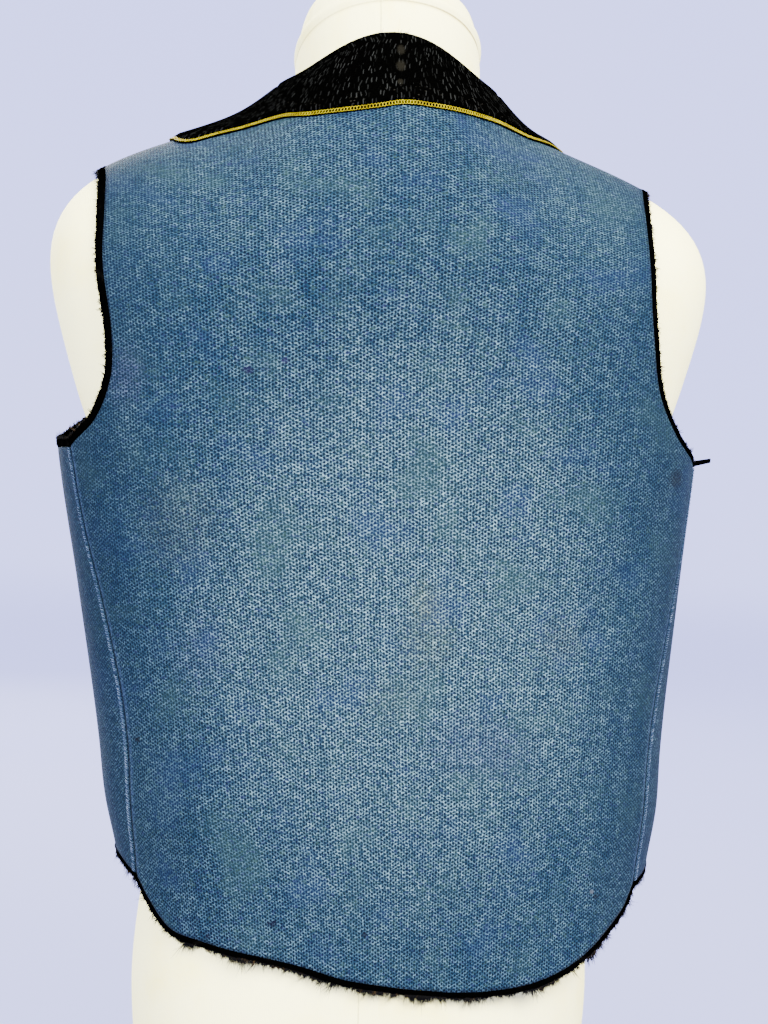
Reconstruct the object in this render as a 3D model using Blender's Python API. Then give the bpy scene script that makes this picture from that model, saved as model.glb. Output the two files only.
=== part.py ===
"""An embroidered folk vest on a limbless dress form.

The vest's front faces -Y and +Z is up. The origin is at the middle of the form's flat bottom, which stands
on the surface. Left and right are the wearer's, so the left is +X. Every cloth piece is a thin wall on one
smooth skin, which hangs a little way off the form and touches it only over the shoulders.
"""

import bmesh
import bpy
import numpy as np

# Cloth and seams
CLOTH = 0.0020
COLLAR_CLOTH = 0.0018
BRAID_WIDTH = 0.0034
BRAID_THICKNESS = 0.0014
BINDING_WIDTH = 0.0062
BINDING_THICKNESS = 0.0030
BINDING_SINK = 0.0004
BINDING_ROUND = 0.0009
SEAM_GAP = 0.0003
LAY_GAP = 0.0016
TAIL_LENGTH = 0.014
TAIL_LEAN = (0.12, 0.26)
TAIL_RINGS = (1.0, 0.6, 0.25)
TAIL_ROOM = 0.0040
BACKWARDS = np.array([0.0, 1.0, 0.0])

# The torso's surface: its sections are superellipses, and a curved roof makes the shoulders
SQUARENESS = 2.4
SHOULDER_SQUARENESS = 8.0
SHOULDER_BASE = 0.400
SHOULDER_PEAK = 0.6814
SHOULDER_SLOPE = 0.32
SHOULDER_TILT = 0.0145
SHOULDER_SOFTNESS = 0.02
SHOULDER_ARCH = 0.075
SHOULDER_DEPTH = 0.115
CORE_TOP = 0.520
CORE_SPREAD = 0.45
CORE_BLEND = (0.42, 0.56)
SEARCH = 0.25

FORM_SECTIONS = (
    ("height", "half_width", "back", "front"),
    (0.000, 0.150, 0.108, 0.104),
    (0.080, 0.156, 0.111, 0.106),
    (0.160, 0.149, 0.103, 0.102),
    (0.250, 0.141, 0.093, 0.098),
    (0.330, 0.151, 0.098, 0.107),
    (0.400, 0.171, 0.110, 0.118),
    (0.450, 0.196, 0.118, 0.121),
    (0.500, 0.213, 0.122, 0.117),
    (0.570, 0.230, 0.124, 0.108),
    (0.640, 0.232, 0.120, 0.098),
    (0.780, 0.230, 0.112, 0.090),
)
FORM_SIDES = 44
FORM_FOOT_ROUND = 0.006
FORM_TRUNK_HEIGHTS = (0.006, 0.05, 0.10, 0.15, 0.20, 0.25, 0.30, 0.35, 0.39, 0.42, 0.45, 0.48, 0.51)
FORM_SHOULDER_STEPS = 10
FORM_NECK_HEIGHTS = (0.700, 0.716, 0.730, 0.741, 0.749, 0.7545)

# The form's neck, a round post with a domed top
NECK_TOP = 0.757
NECK_BASE = 0.600
NECK_RADIUS = 0.0645
NECK_SQUARENESS = 5.4
NECK_FILLET = 0.006

# The vest's inside, clear of the form. Sway moves a section towards the wearer's left
VEST_SECTIONS = (
    ("height", "half_width", "back", "front", "sway"),
    (0.060, 0.168, 0.113, 0.111, -0.017),
    (0.100, 0.172, 0.115, 0.113, -0.016),
    (0.165, 0.181, 0.118, 0.117, -0.0135),
    (0.200, 0.188, 0.119, 0.1185, -0.012),
    (0.240, 0.1915, 0.120, 0.120, -0.010),
    (0.344, 0.2045, 0.122, 0.123, -0.0055),
    (0.438, 0.2170, 0.1235, 0.125, -0.0015),
    (0.500, 0.2215, 0.1240, 0.121, 0.000),
    (0.570, 0.2315, 0.1255, 0.110, 0.000),
    (0.640, 0.2335, 0.1215, 0.100, 0.000),
    (0.780, 0.2315, 0.1135, 0.092, 0.000),
)
VEST_CLEARANCE = 0.0013

# Soft flutes that run up from the hem. A negative depth is a trough
FLUTES = (
    ("angle", "width", "depth"),
    (44.0, 12.0, 0.0030),
    (63.0, 10.0, -0.0030),
    (12.0, 14.0, 0.0018),
    (-16.0, 12.0, -0.0020),
    (-44.0, 14.0, 0.0026),
    (-64.0, 10.0, -0.0022),
    (118.0, 14.0, 0.0028),
    (146.0, 12.0, -0.0024),
    (-122.0, 13.0, 0.0026),
    (-150.0, 12.0, -0.0022),
)
FLUTE_FOOT = 0.110
FLUTE_TOP = 0.330

# The neck edge, a ring round the form's neck, and the cone of cloth from it down to the shoulders
RING_HALF_WIDTH = 0.0705
RING_HALF_DEPTH = 0.0710
RING_HEIGHT = 0.6819
RING_TILT = 0.500
RING_TURN = 0.030
RING_PEAK = 2.7
RING_LEAN = np.radians(5.0)
CONE_HALF_WIDTH = {"left": 0.1360, "right": 0.1203}
CONE_HALF_DEPTH = 0.1030
CONE_HEIGHT = 0.0600
CONE_SOFTNESS = 0.012

# Where the cloth is cut. Angles are from the middle of the back, heights from the form's foot
SEAM_ANGLES = (
    ("height", "left", "right"),
    (0.155, 74.0, -70.0),
    (0.205, 71.5, -69.6),
    (0.260, 70.5, -70.3),
    (0.330, 73.0, -73.7),
    (0.380, 76.0, -77.0),
    (0.436, 78.0, -80.0),
)
BACK_HEM = (
    ("angle", "height"),
    (-70.0, 0.1475),
    (-65.7, 0.1371),
    (-61.7, 0.1284),
    (-55.4, 0.1162),
    (-50.0, 0.1076),
    (-39.4, 0.0962),
    (-28.5, 0.0912),
    (-17.9, 0.0897),
    (-3.5, 0.0917),
    (7.9, 0.0947),
    (17.2, 0.0976),
    (33.6, 0.1073),
    (43.2, 0.1117),
    (56.0, 0.1175),
    (65.7, 0.1236),
    (70.5, 0.1394),
    (74.0, 0.1515),
)
# Past the seams the hem climbs a little, then dips to the rounded corners at the front edges
FRONT_HEM = (
    ("angle", "height"),
    (82.0, 0.1640),
    (100.0, 0.1665),
    (125.0, 0.1600),
    (150.0, 0.1520),
)
FRONT_CORNER = (
    ("side", "height"),
    (0.0420, 0.1475),
    (0.0250, 0.1500),
    (0.0140, 0.1570),
)
FRONT_EDGE = (
    ("side", "height"),
    (0.0090, 0.1680),
    (0.0080, 0.1850),
    (0.0075, 0.3000),
    (0.0075, 0.4150),
)
BACK_ARMHOLE = (
    ("height", "left", "right"),
    (0.4550, 0.1920, 0.1940),
    (0.4800, 0.1835, 0.1790),
    (0.5100, 0.1835, 0.1725),
    (0.5500, 0.1900, 0.1683),
    (0.5900, 0.1905, 0.1680),
    (0.6120, 0.1900, 0.1700),
)
UNDERARM = (
    ("side", "forward", "height"),
    (0.2140, 0.0100, 0.4370),
    (0.2060, 0.0440, 0.4430),
)
FRONT_ARMHOLE = (
    ("height", "left", "right"),
    (0.4560, 0.1930, 0.1920),
    (0.4850, 0.1770, 0.1720),
    (0.5300, 0.1700, 0.1620),
    (0.5800, 0.1740, 0.1630),
    (0.6100, 0.1820, 0.1700),
)
SHOULDER_TIP = {"left": 0.1880, "right": 0.1755}

# The neckline of the blue cloth in front, from the shoulder down to the front edge
FRONT_NECKLINE = (
    ("side", "forward", "height"),
    (0.0730, 0.0300, 0.6720),
    (0.0690, 0.0600, 0.6450),
    (0.0620, 0.0860, 0.5950),
    (0.0500, 0.1040, 0.5350),
    (0.0320, 0.1160, 0.4720),
)
NECKLINE_DROP = 0.0030

# The collar's outer edge behind, from the left shoulder to the right, and in front on the left
COLLAR_BACK = (
    ("side", "behind", "height"),
    (0.1331, 0.0380, 0.6406),
    (0.1183, 0.0405, 0.6451),
    (0.1051, 0.0454, 0.6486),
    (0.0886, 0.0560, 0.6534),
    (0.0762, 0.0677, 0.6566),
    (0.0586, 0.0857, 0.6573),
    (0.0409, 0.0949, 0.6595),
    (0.0167, 0.0995, 0.6635),
    (0.0042, 0.0990, 0.6662),
    (-0.0213, 0.0954, 0.6653),
    (-0.0347, 0.0900, 0.6642),
    (-0.0490, 0.0809, 0.6625),
    (-0.0648, 0.0657, 0.6605),
    (-0.0777, 0.0520, 0.6577),
    (-0.0912, 0.0383, 0.6544),
)
COLLAR_SHOULDER = {"left": 0.1440, "right": 0.1200}
COLLAR_FRONT = (
    ("side", "forward", "height"),
    (0.1210, 0.0450, 0.6350),
    (0.1080, 0.0800, 0.5900),
    (0.0840, 0.1020, 0.5350),
    (0.0560, 0.1150, 0.4800),
    (0.0300, 0.1200, 0.4380),
)
COLLAR_POINT = 0.0160

# Mesh steps along the edges
SEAM_STEPS = 10
ARMHOLE_STEPS = 17
UNDERARM_STEPS = 6
FRONT_ARMHOLE_STEPS = 12
SHOULDER_STEPS = 6
FRONT_SHOULDER_STEPS = 12
NECKLINE_STEPS = 20
COLLAR_ROWS = 5

FINISHES = (
    ("name", "red", "green", "blue", "roughness"),
    ("blue_cloth", 0.10, 0.22, 0.36, 0.85),
    ("black_velvet", 0.010, 0.010, 0.012, 0.80),
    ("gold_thread", 0.62, 0.46, 0.08, 0.45),
    ("form_jersey", 0.86, 0.84, 0.80, 0.75),
)


def hermite(x, y, at):
    """Reads y at the given places, on a smooth curve through its values at x."""
    slope = np.gradient(y, x)
    at = np.clip(np.asarray(at, float), x[0], x[-1])
    i = np.clip(np.searchsorted(x, at) - 1, 0, len(x) - 2)
    step = x[i + 1] - x[i]
    t = (at - x[i]) / step
    near = y[i] * (1 + 2 * t) * (1 - t) ** 2 + slope[i] * step * t * (1 - t) ** 2
    return near + y[i + 1] * t * t * (3 - 2 * t) - slope[i + 1] * step * t * t * (1 - t)


def column(table, name):
    return np.array([row[table[0].index(name)] for row in table[1:]], float)


def smooth(table, name, at):
    """Reads a column of a table at the given heights."""
    return hermite(column(table, "height"), column(table, name), at)


def soft_max(a, b, softness):
    return 0.5 * (a + b + np.sqrt((a - b) ** 2 + softness**2))


def soft_min(a, b, reach_of_fillet):
    near = np.maximum(reach_of_fillet - np.abs(a - b), 0) / reach_of_fillet
    return np.minimum(a, b) - near**2 * reach_of_fillet / 4


def smooth_step(low, high, at):
    t = np.clip((at - low) / (high - low), 0, 1)
    return t * t * (3 - 2 * t)


def shoulder_roof(x, y):
    """The height of the shoulders over a point of the floor."""
    ridge = SHOULDER_PEAK - SHOULDER_SLOPE * (np.hypot(x, SHOULDER_SOFTNESS) - SHOULDER_SOFTNESS)
    return ridge + SHOULDER_TILT * x - SHOULDER_ARCH * (y / SHOULDER_DEPTH) ** 2


def torso(x, y, z, sections, roof):
    """A field that is 1 on the torso's surface and less inside it."""
    depth = np.where(y > 0, smooth(sections, "back", z), smooth(sections, "front", z))
    width = smooth(sections, "half_width", z)
    around = (np.abs(x / width) ** SQUARENESS + np.abs(y / depth) ** SQUARENESS) ** (1 / SQUARENESS)
    above = np.maximum(z - SHOULDER_BASE, 0) / (roof - SHOULDER_BASE)
    return (around**SHOULDER_SQUARENESS + above**SHOULDER_SQUARENESS) ** (1 / SHOULDER_SQUARENESS)


def form_field(points):
    """The dress form: the torso and the neck, run into each other over a soft fillet."""
    x, y, z = points.T
    body = (torso(x, y, z, FORM_SECTIONS, shoulder_roof(x, y)) - 1) * SHOULDER_DEPTH
    up = np.maximum((z - NECK_BASE) / (NECK_TOP - NECK_BASE), 0)
    post = ((np.hypot(x, y) / NECK_RADIUS) ** NECK_SQUARENESS + up**NECK_SQUARENESS) ** (1 / NECK_SQUARENESS)
    return 1 + soft_min(body, (post - 1) * NECK_RADIUS, NECK_FILLET)


def ring_rise(x, y):
    """How much the neck edge climbs from the shoulders to the nape. In front it stays near level."""
    from_nape = np.cos(np.arctan2(x, y) - RING_LEAN)
    peak = np.clip(from_nape, 0, 1) ** RING_PEAK
    return peak * RING_TILT * 0.5 * (y + np.hypot(y, RING_TURN) - RING_TURN)


def neck_cone(x, y):
    """The height of the cloth that climbs from the shoulders to the neck edge."""
    angle = np.arctan2(y, x)
    side, along = np.cos(angle), np.sin(angle)
    inner = 1 / np.hypot(side / RING_HALF_WIDTH, along / RING_HALF_DEPTH)
    half_width = np.where(x > 0, CONE_HALF_WIDTH["left"], CONE_HALF_WIDTH["right"])
    outer = 1 / np.hypot(side / half_width, along / CONE_HALF_DEPTH)
    down = (np.hypot(x, y) - inner) / (outer - inner)
    return RING_HEIGHT + ring_rise(x, y) - CONE_HEIGHT * down


def flute(angle, z):
    """How far the flutes push the cloth out, fading from the hem to the waist."""
    push = 0 * angle
    for middle, width, depth in FLUTES[1:]:
        push = push + depth * np.exp(-(((angle - middle) / width) ** 2))
    return push * (1 - smooth_step(FLUTE_FOOT, FLUTE_TOP, z))


def vest_field(points):
    """The inside of the vest."""
    x, y, z = points.T
    x = x - smooth(VEST_SECTIONS, "sway", z)
    roof = soft_max(shoulder_roof(x, y), neck_cone(x, y), CONE_SOFTNESS) + VEST_CLEARANCE
    push = flute(np.degrees(np.arctan2(x, y)), z)
    return torso(x, y, z, VEST_SECTIONS, roof) - push / np.maximum(np.hypot(x, y), CLOTH)


def reach(field, points):
    """Moves points onto a field's surface, straight out from the core inside it."""
    points = np.array(points, float)
    x, y, z = points.T
    spread = CORE_SPREAD * smooth_step(*CORE_BLEND, z)
    core = np.stack([spread * x, 0 * y, np.minimum(z, CORE_TOP)], 1)
    if field is vest_field:
        core[:, 0] += (1 - spread) * smooth(VEST_SECTIONS, "sway", z)
    way = points - core
    low, high = np.full(len(points), 0.2), np.full(len(points), 4.0)
    for _ in range(44):
        middle = 0.5 * (low + high)
        outside = field(core + way * middle[:, None]) > 1
        high = np.where(outside, middle, high)
        low = np.where(outside, low, middle)
    return core + way * low[:, None]


def unit(vectors):
    return vectors / np.linalg.norm(vectors, axis=-1, keepdims=True)


def outward(points, step=1e-4):
    """The vest's unit normals at points of its skin."""
    flat = points.reshape(-1, 3)
    slopes = [vest_field(flat + step * axis) - vest_field(flat - step * axis) for axis in np.eye(3)]
    return unit(np.stack(slopes, 1)).reshape(points.shape)


def even(points, steps):
    """Points at even steps along a polyline."""
    at = np.concatenate([[0], np.cumsum(np.linalg.norm(np.diff(points, axis=0), axis=1))])
    return np.stack([np.interp(np.linspace(0, at[-1], steps + 1), at, axis) for axis in points.T], 1)


def curve(placed, steps):
    """Even steps along a smooth curve through a few placed points, on the vest's skin."""
    placed = np.array(placed, float)
    at = np.concatenate([[0], np.cumsum(np.linalg.norm(np.diff(placed, axis=0), axis=1))])
    fine = np.linspace(0, at[-1], 30 * len(placed))
    return even(reach(vest_field, np.stack([hermite(at, axis, fine) for axis in placed.T], 1)), steps)


def sideways(points):
    """Unit vectors in the skin, across a line of its points: the line's way crossed with the normal."""
    return unit(np.cross(unit(np.gradient(points, axis=0)), outward(points)))


def at_angle(angle, height):
    """A point of the skin at an angle from the middle of the back."""
    turn = np.radians(angle)
    sway = float(smooth(VEST_SECTIONS, "sway", height))
    return (sway + 0.2 * np.sin(turn), 0.2 * np.cos(turn), height)


def solve(low, high, point_at):
    """The place between low and high where a line of points leaves the vest's inside."""
    for _ in range(40):
        middle = 0.5 * (low + high)
        outside = vest_field(np.array([point_at(middle)]))[0] > 1
        low, high = (low, middle) if outside else (middle, high)
    return point_at(low)


def behind(x, height):
    """The point of the back with this side place and height."""
    return solve(0.0, SEARCH, lambda y: (x, y, height))


def in_front(x, height):
    """The point of the front with this side place and height."""
    return solve(0.0, SEARCH, lambda y: (x, -y, height))


def on_top(x, y):
    """The point of the shoulders over this place of the floor."""
    return solve(CORE_TOP, CORE_TOP + SEARCH, lambda z: (x, y, z))


def rows(table, *names):
    return list(zip(*(column(table, name) for name in names)))


def outlines(side):
    """The cut edges of one side: lines of points on the skin, from the hem up and from the side inwards."""
    sign = 1 if side == "left" else -1
    seam = curve([at_angle(angle, height) for height, angle in rows(SEAM_ANGLES, "height", side)], SEAM_STEPS)
    tip, neck_point = on_top(sign * SHOULDER_TIP[side], 0.0), neckline_point(0.0 if sign > 0 else np.pi)
    ridge = [on_top(x, 0.0) for x in np.linspace(tip[0], neck_point[0], SHOULDER_STEPS + 1)]
    shoulder = curve(ridge, SHOULDER_STEPS)
    back_arm = [behind(sign * x, height) for height, x in rows(BACK_ARMHOLE, "height", side)]
    under = [(sign * x, -y, z) for x, y, z in rows(UNDERARM, "side", "forward", "height")]
    front_arm = [in_front(sign * x, height) for height, x in rows(FRONT_ARMHOLE, "height", side)]
    armhole = curve([seam[-1], *under, *front_arm, shoulder[0]], 10 * (UNDERARM_STEPS + FRONT_ARMHOLE_STEPS))
    turn = 10 * UNDERARM_STEPS
    hem = [at_angle(sign * angle, height) for angle, height in rows(FRONT_HEM, "angle", "height")]
    corner = [in_front(sign * x, height) for x, height in rows(FRONT_CORNER, "side", "height")]
    edge = [in_front(sign * x, height) for x, height in rows(FRONT_EDGE, "side", "height")]
    neckline = [(sign * x, -y, z) for x, y, z in rows(FRONT_NECKLINE, "side", "forward", "height")]
    front_hem = curve([seam[0], *hem, *corner], UNDERARM_STEPS + FRONT_SHOULDER_STEPS)
    front_edge = curve([front_hem[-1], *edge], SEAM_STEPS)
    return {
        "seam": seam,
        "back_armhole": curve([seam[-1], *back_arm, shoulder[0]], ARMHOLE_STEPS),
        "underarm": even(armhole[: turn + 1], UNDERARM_STEPS),
        "front_armhole": even(armhole[turn:], FRONT_ARMHOLE_STEPS),
        "shoulder": shoulder,
        "front_hem": front_hem,
        "front_edge": front_edge,
        "front_neckline": curve([front_edge[-1], *neckline[::-1], shoulder[-1]], FRONT_ARMHOLE_STEPS),
    }


def neckline_point(angle):
    """A point of the blue cloth's neckline, a little way down the cone from the neck edge."""
    x = np.cos(angle) * (RING_HALF_WIDTH + NECKLINE_DROP)
    y = np.sin(angle) * (RING_HALF_DEPTH + NECKLINE_DROP)
    return on_top(x, y)


def chain(*lines):
    """Joins lines end to end, each starting where the last one ends."""
    return np.concatenate([lines[0], *(line[1:] for line in lines[1:])])


def sheet_points(bottom, top, left, right):
    """A grid of skin points between four edges: the edges' blend, moved out onto the skin."""
    v = np.linspace(0, 1, len(left))[:, None, None]
    u = np.linspace(0, 1, len(bottom))[None, :, None]
    across = (1 - v) * bottom[None] + v * top[None]
    along = (1 - u) * left[:, None] + u * right[:, None]
    corners = (1 - v) * ((1 - u) * bottom[0] + u * bottom[-1]) + v * ((1 - u) * top[0] + u * top[-1])
    grid = across + along - corners
    inner = grid[1:-1, 1:-1]
    grid[1:-1, 1:-1] = reach(vest_field, inner.reshape(-1, 3)).reshape(inner.shape)
    return grid


def clear_objects():
    for item in list(bpy.context.scene.objects):
        bpy.data.objects.remove(item, do_unlink=True)


def make_finishes():
    finishes = {}
    for name, red, green, blue, roughness in FINISHES[1:]:
        finish = bpy.data.materials.new(name)
        finish.use_nodes = True
        shader = finish.node_tree.nodes["Principled BSDF"]
        shader.inputs["Base Color"].default_value = (red, green, blue, 1)
        shader.inputs["Roughness"].default_value = roughness
        shader.inputs["Metallic"].default_value = 0.0
        finishes[name] = finish
    return finishes


def add_object(name, vertices, faces, finish, collection):
    """Makes a closed mesh from its points and faces, with its faces pointing out."""
    mesh = bpy.data.meshes.new(name)
    mesh.from_pydata([tuple(v) for v in vertices], [], faces)
    shape = bmesh.new()
    shape.from_mesh(mesh)
    bmesh.ops.triangulate(shape, faces=[f for f in shape.faces if len(f.verts) > 4])
    bmesh.ops.recalc_face_normals(shape, faces=shape.faces)
    shape.to_mesh(mesh)
    shape.free()
    mesh.materials.append(finish)
    item = bpy.data.objects.new(name, mesh)
    collection.objects.link(item)
    mesh.shade_smooth()
    mesh.set_sharp_from_angle(angle=np.radians(40))
    return item


def wall(name, grids, finish, collection):
    """A cloth wall over grids of skin points that share edges, closed round its rim."""
    places, points, quads = {}, [], []
    for grid in grids:
        index = np.zeros(grid.shape[:2], int)
        for r, c in np.ndindex(*index.shape):
            key = tuple(np.round(grid[r, c], 7))
            if key not in places:
                places[key] = len(points)
                points.append(grid[r, c])
            index[r, c] = places[key]
        for r, c in np.ndindex(index.shape[0] - 1, index.shape[1] - 1):
            corners = (index[r, c], index[r, c + 1], index[r + 1, c + 1], index[r + 1, c])
            quads.append([int(i) for i in corners])
    points = np.array(points)
    count = len(points)
    edges = [(quad[k], quad[(k + 1) % 4]) for quad in quads for k in range(4)]
    once = set(edges)
    rim = [(a, b) for a, b in edges if (b, a) not in once]
    faces = quads + [[i + count for i in quad[::-1]] for quad in quads]
    faces += [[b, a, a + count, b + count] for a, b in rim]
    vertices = np.concatenate([points + CLOTH * outward(points), points])
    return add_object(name, vertices, faces, finish, collection)


def loft(name, sections, finish, collection):
    """A closed tube through rings of points, capped at both ends."""
    count, sides = sections.shape[:2]
    index = np.arange(count * sides).reshape(count, sides)
    faces = [[int(i) for i in index[0, ::-1]], [int(i) for i in index[-1]]]
    for r in range(count - 1):
        for s in range(sides):
            t = (s + 1) % sides
            faces.append([int(index[r, s]), int(index[r, t]), int(index[r + 1, t]), int(index[r + 1, s])])
    return add_object(name, sections.reshape(-1, 3), faces, finish, collection)


def ribbon(points, across, normals, profile):
    """Rings for a strip along a line of points: each profile corner is a distance across and out."""
    return np.stack([points + a * across + n * normals for a, n in profile], 1)


def binding_profile():
    low, high = -BINDING_SINK, BINDING_THICKNESS - BINDING_SINK
    inside, outside = SEAM_GAP, SEAM_GAP + BINDING_WIDTH
    r = BINDING_ROUND
    return (
        (inside, low),
        (outside - r, low),
        (outside, low + r),
        (outside, high - r),
        (outside - r, high),
        (inside, high),
    )


def shifted(line, distance):
    """A seam's line moved half the seam's gap into one of its two pieces."""
    return line + distance * sideways(line)


def back_neckline(left, right):
    """The blue cloth's neckline behind, from the left shoulder to the right."""
    placed = [neckline_point(angle) for angle in np.linspace(0, np.pi, NECKLINE_STEPS + 1)]
    return curve([left["shoulder"][-1], *placed[1:-1], right["shoulder"][-1]], NECKLINE_STEPS)


def make_back(left, right, neckline, finish, collection):
    half = SEAM_GAP / 2
    left_edge = chain(shifted(left["seam"], half), left["back_armhole"])
    right_edge = chain(shifted(right["seam"], -half), right["back_armhole"])
    top = chain(left["shoulder"], neckline, right["shoulder"][::-1]) + half * BACKWARDS
    left_edge[-1], right_edge[-1] = top[0], top[-1]
    hem = back_hem(left_edge[0], right_edge[0])
    wall("back", [sheet_points(hem, top, left_edge, right_edge)], finish, collection)
    return hem


def back_hem(left_end, right_end):
    placed = [at_angle(angle, height) for angle, height in rows(BACK_HEM, "angle", "height")][::-1]
    return curve([left_end, *placed[1:-1], right_end], 2 * SHOULDER_STEPS + NECKLINE_STEPS)


def make_front(name, lines, sign, finish, collection):
    """A front in two stretches that share a level line from the armhole to the top of the front edge."""
    half = SEAM_GAP / 2
    side = shifted(lines["seam"], -sign * half)
    shoulder = even(lines["shoulder"], FRONT_SHOULDER_STEPS) - half * BACKWARDS
    armhole = np.concatenate([lines["front_armhole"][:-1], shoulder[:1]])
    neckline = np.concatenate([lines["front_neckline"][:-1], shoulder[-1:]])
    level = curve(even(np.array([armhole[0], neckline[0]]), FRONT_SHOULDER_STEPS), FRONT_SHOULDER_STEPS)
    level[0], level[-1] = armhole[0], neckline[0]
    hem = np.concatenate([side[:1], lines["front_hem"][1:]])
    underarm = np.concatenate([side[-1:], lines["underarm"][1:]])
    lower = sheet_points(hem, chain(underarm, level), side, lines["front_edge"])
    upper = sheet_points(level, shoulder, armhole, neckline)
    wall(name, [lower, upper], finish, collection)


def mitre(path, across, seam):
    """Turns a strip's two ends so that they are cut along the side seam."""
    along = unit(np.gradient(path, axis=0))
    up = unit(seam[-1] - seam[-2])
    for end in (0, -1):
        across[end] = up / np.linalg.norm(np.cross(along[end], up))
    return across


def make_armhole_binding(name, lines, sign, tail, finish, collection):
    """One strip from the underarm up the back, over the shoulder tip and down the front."""
    path = chain(lines["back_armhole"], lines["front_armhole"][::-1], lines["underarm"][::-1])
    path[0] += SEAM_GAP * BACKWARDS
    path[-1] -= (TAIL_ROOM if tail else SEAM_GAP) * BACKWARDS
    profile = binding_profile()
    across = mitre(path, -sign * sideways(path), lines["seam"])
    rings = ribbon(path, across, outward(path), profile)
    if tail:
        away = TAIL_LENGTH * unit(np.array([sign, *TAIL_LEAN]))
        flat = [(a, n - max(n for _, n in profile)) for a, n in profile]
        ends = [[path[0] + t * away + a * across[0] + n * BACKWARDS for a, n in flat] for t in TAIL_RINGS]
        rings = np.concatenate([ends, rings])
    loft(name, rings, finish, collection)


def make_edge_binding(name, hem, lines, sign, finish, collection):
    """One strip from the middle of the back hem, past the side seam and up the front edge."""
    path = chain(hem, lines["front_hem"], lines["front_edge"])
    rings = ribbon(path, -sign * sideways(path), outward(path), binding_profile())
    loft(name, rings, finish, collection)


def collar_lines(left, right, neckline):
    """The blue neckline and the collar's outer edge, point for point from the left front to the right."""
    def front_outer(side, sign):
        steps = len(left["front_neckline"]) - 1
        shoulder = on_top(sign * COLLAR_SHOULDER[side], 0.0)
        placed = [(sign * x, -y, z) for x, y, z in rows(COLLAR_FRONT, "side", "forward", "height")]
        start = left["front_neckline"][0] if sign > 0 else right["front_neckline"][0]
        point = start + np.array([sign * (COLLAR_POINT - BINDING_WIDTH), 0, 0])
        return curve([point, *placed[::-1], shoulder], steps)

    shoulders = [on_top(COLLAR_SHOULDER["left"], 0.0), on_top(-COLLAR_SHOULDER["right"], 0.0)]
    placed = rows(COLLAR_BACK, "side", "behind", "height")
    outer_back = curve([shoulders[0], *placed, shoulders[1]], NECKLINE_STEPS)
    inner = chain(left["front_neckline"], neckline, right["front_neckline"][::-1])
    outer = chain(front_outer("left", 1), outer_back, front_outer("right", -1)[::-1])
    return inner, outer


def make_collar(inner, outer, finish, collection):
    """A band over the neck edge: it caps the blue cloth's edge and lies on the cloth outside it."""
    opening = -sideways(inner)
    edge = reach(vest_field, inner + (SEAM_GAP + BINDING_WIDTH) * opening)
    cap = inner + SEAM_GAP * opening
    low = CLOTH + LAY_GAP
    high = low + COLLAR_CLOTH
    band = [reach(vest_field, inner + t * (outer - inner)) for t in np.linspace(0, 1, COLLAR_ROWS + 1)]
    ring = [(edge, high)] + [(line, high) for line in band]
    ring += [(line, low) for line in band[:0:-1]]
    ring += [(cap, low), (cap, -BINDING_SINK), (edge, -BINDING_SINK)]
    sections = np.stack([line + lift * outward(line) for line, lift in ring], 1)
    loft("collar", sections, finish, collection)


def make_braid(outer, finish, collection):
    low, high = CLOTH + LAY_GAP, CLOTH + LAY_GAP + BRAID_THICKNESS
    near, far = SEAM_GAP, SEAM_GAP + BRAID_WIDTH
    middle = 0.5 * (near + far)
    profile = ((near, low), (far, low), (far, 0.5 * (low + high)), (middle, high), (near, 0.5 * (low + high)))
    loft("gold_braid", ribbon(outer, sideways(outer), outward(outer), profile), finish, collection)


def make_form(finish, collection):
    """The dress form: level rings up the trunk, then rings that climb the shoulders and the neck."""
    turn = np.linspace(0, 2 * np.pi, FORM_SIDES, endpoint=False)
    ring = np.stack([np.sin(turn), np.cos(turn), 0 * turn], 1)
    sizes = [((0.20, 0.12), height) for height in FORM_TRUNK_HEIGHTS]
    for t in np.linspace(0, 1, FORM_SHOULDER_STEPS + 1)[1:]:
        sizes.append(((0.222 + t * (0.078 - 0.222), 0.122 + t * (0.076 - 0.122)), 0.52 + t * (0.684 - 0.52)))
    for height in FORM_NECK_HEIGHTS:
        dome = max(1 - ((height - NECK_BASE) / (NECK_TOP - NECK_BASE)) ** NECK_SQUARENESS, 0.0)
        radius = NECK_RADIUS * dome ** (1 / NECK_SQUARENESS)
        sizes.append(((radius, radius), height))
    sections = [reach(form_field, ring * (*half, 0) + np.array([0, 0, height])) for half, height in sizes]
    foot = sections[0].copy()
    foot[:, 2] = 0.0
    foot[:, :2] *= 1 - FORM_FOOT_ROUND / SHOULDER_DEPTH
    loft("dress_form", np.stack([foot, *sections]), finish, collection)


def main():
    clear_objects()
    collection = bpy.data.collections.new("folk_vest_on_dress_form")
    bpy.context.scene.collection.children.link(collection)
    finishes = make_finishes()
    left, right = outlines("left"), outlines("right")
    neckline = back_neckline(left, right)
    hem = make_back(left, right, neckline, finishes["blue_cloth"], collection)
    make_front("front_left", left, 1, finishes["blue_cloth"], collection)
    make_front("front_right", right, -1, finishes["blue_cloth"], collection)
    inner, outer = collar_lines(left, right, neckline)
    make_collar(inner, outer, finishes["black_velvet"], collection)
    make_braid(outer, finishes["gold_thread"], collection)
    make_armhole_binding("armhole_binding_left", left, 1, False, finishes["black_velvet"], collection)
    make_armhole_binding("armhole_binding_right", right, -1, True, finishes["black_velvet"], collection)
    middle = len(hem) // 2
    make_edge_binding("edge_binding_left", hem[middle::-1], left, 1, finishes["black_velvet"], collection)
    make_edge_binding("edge_binding_right", hem[middle:], right, -1, finishes["black_velvet"], collection)
    make_form(finishes["form_jersey"], collection)


main()
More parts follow.
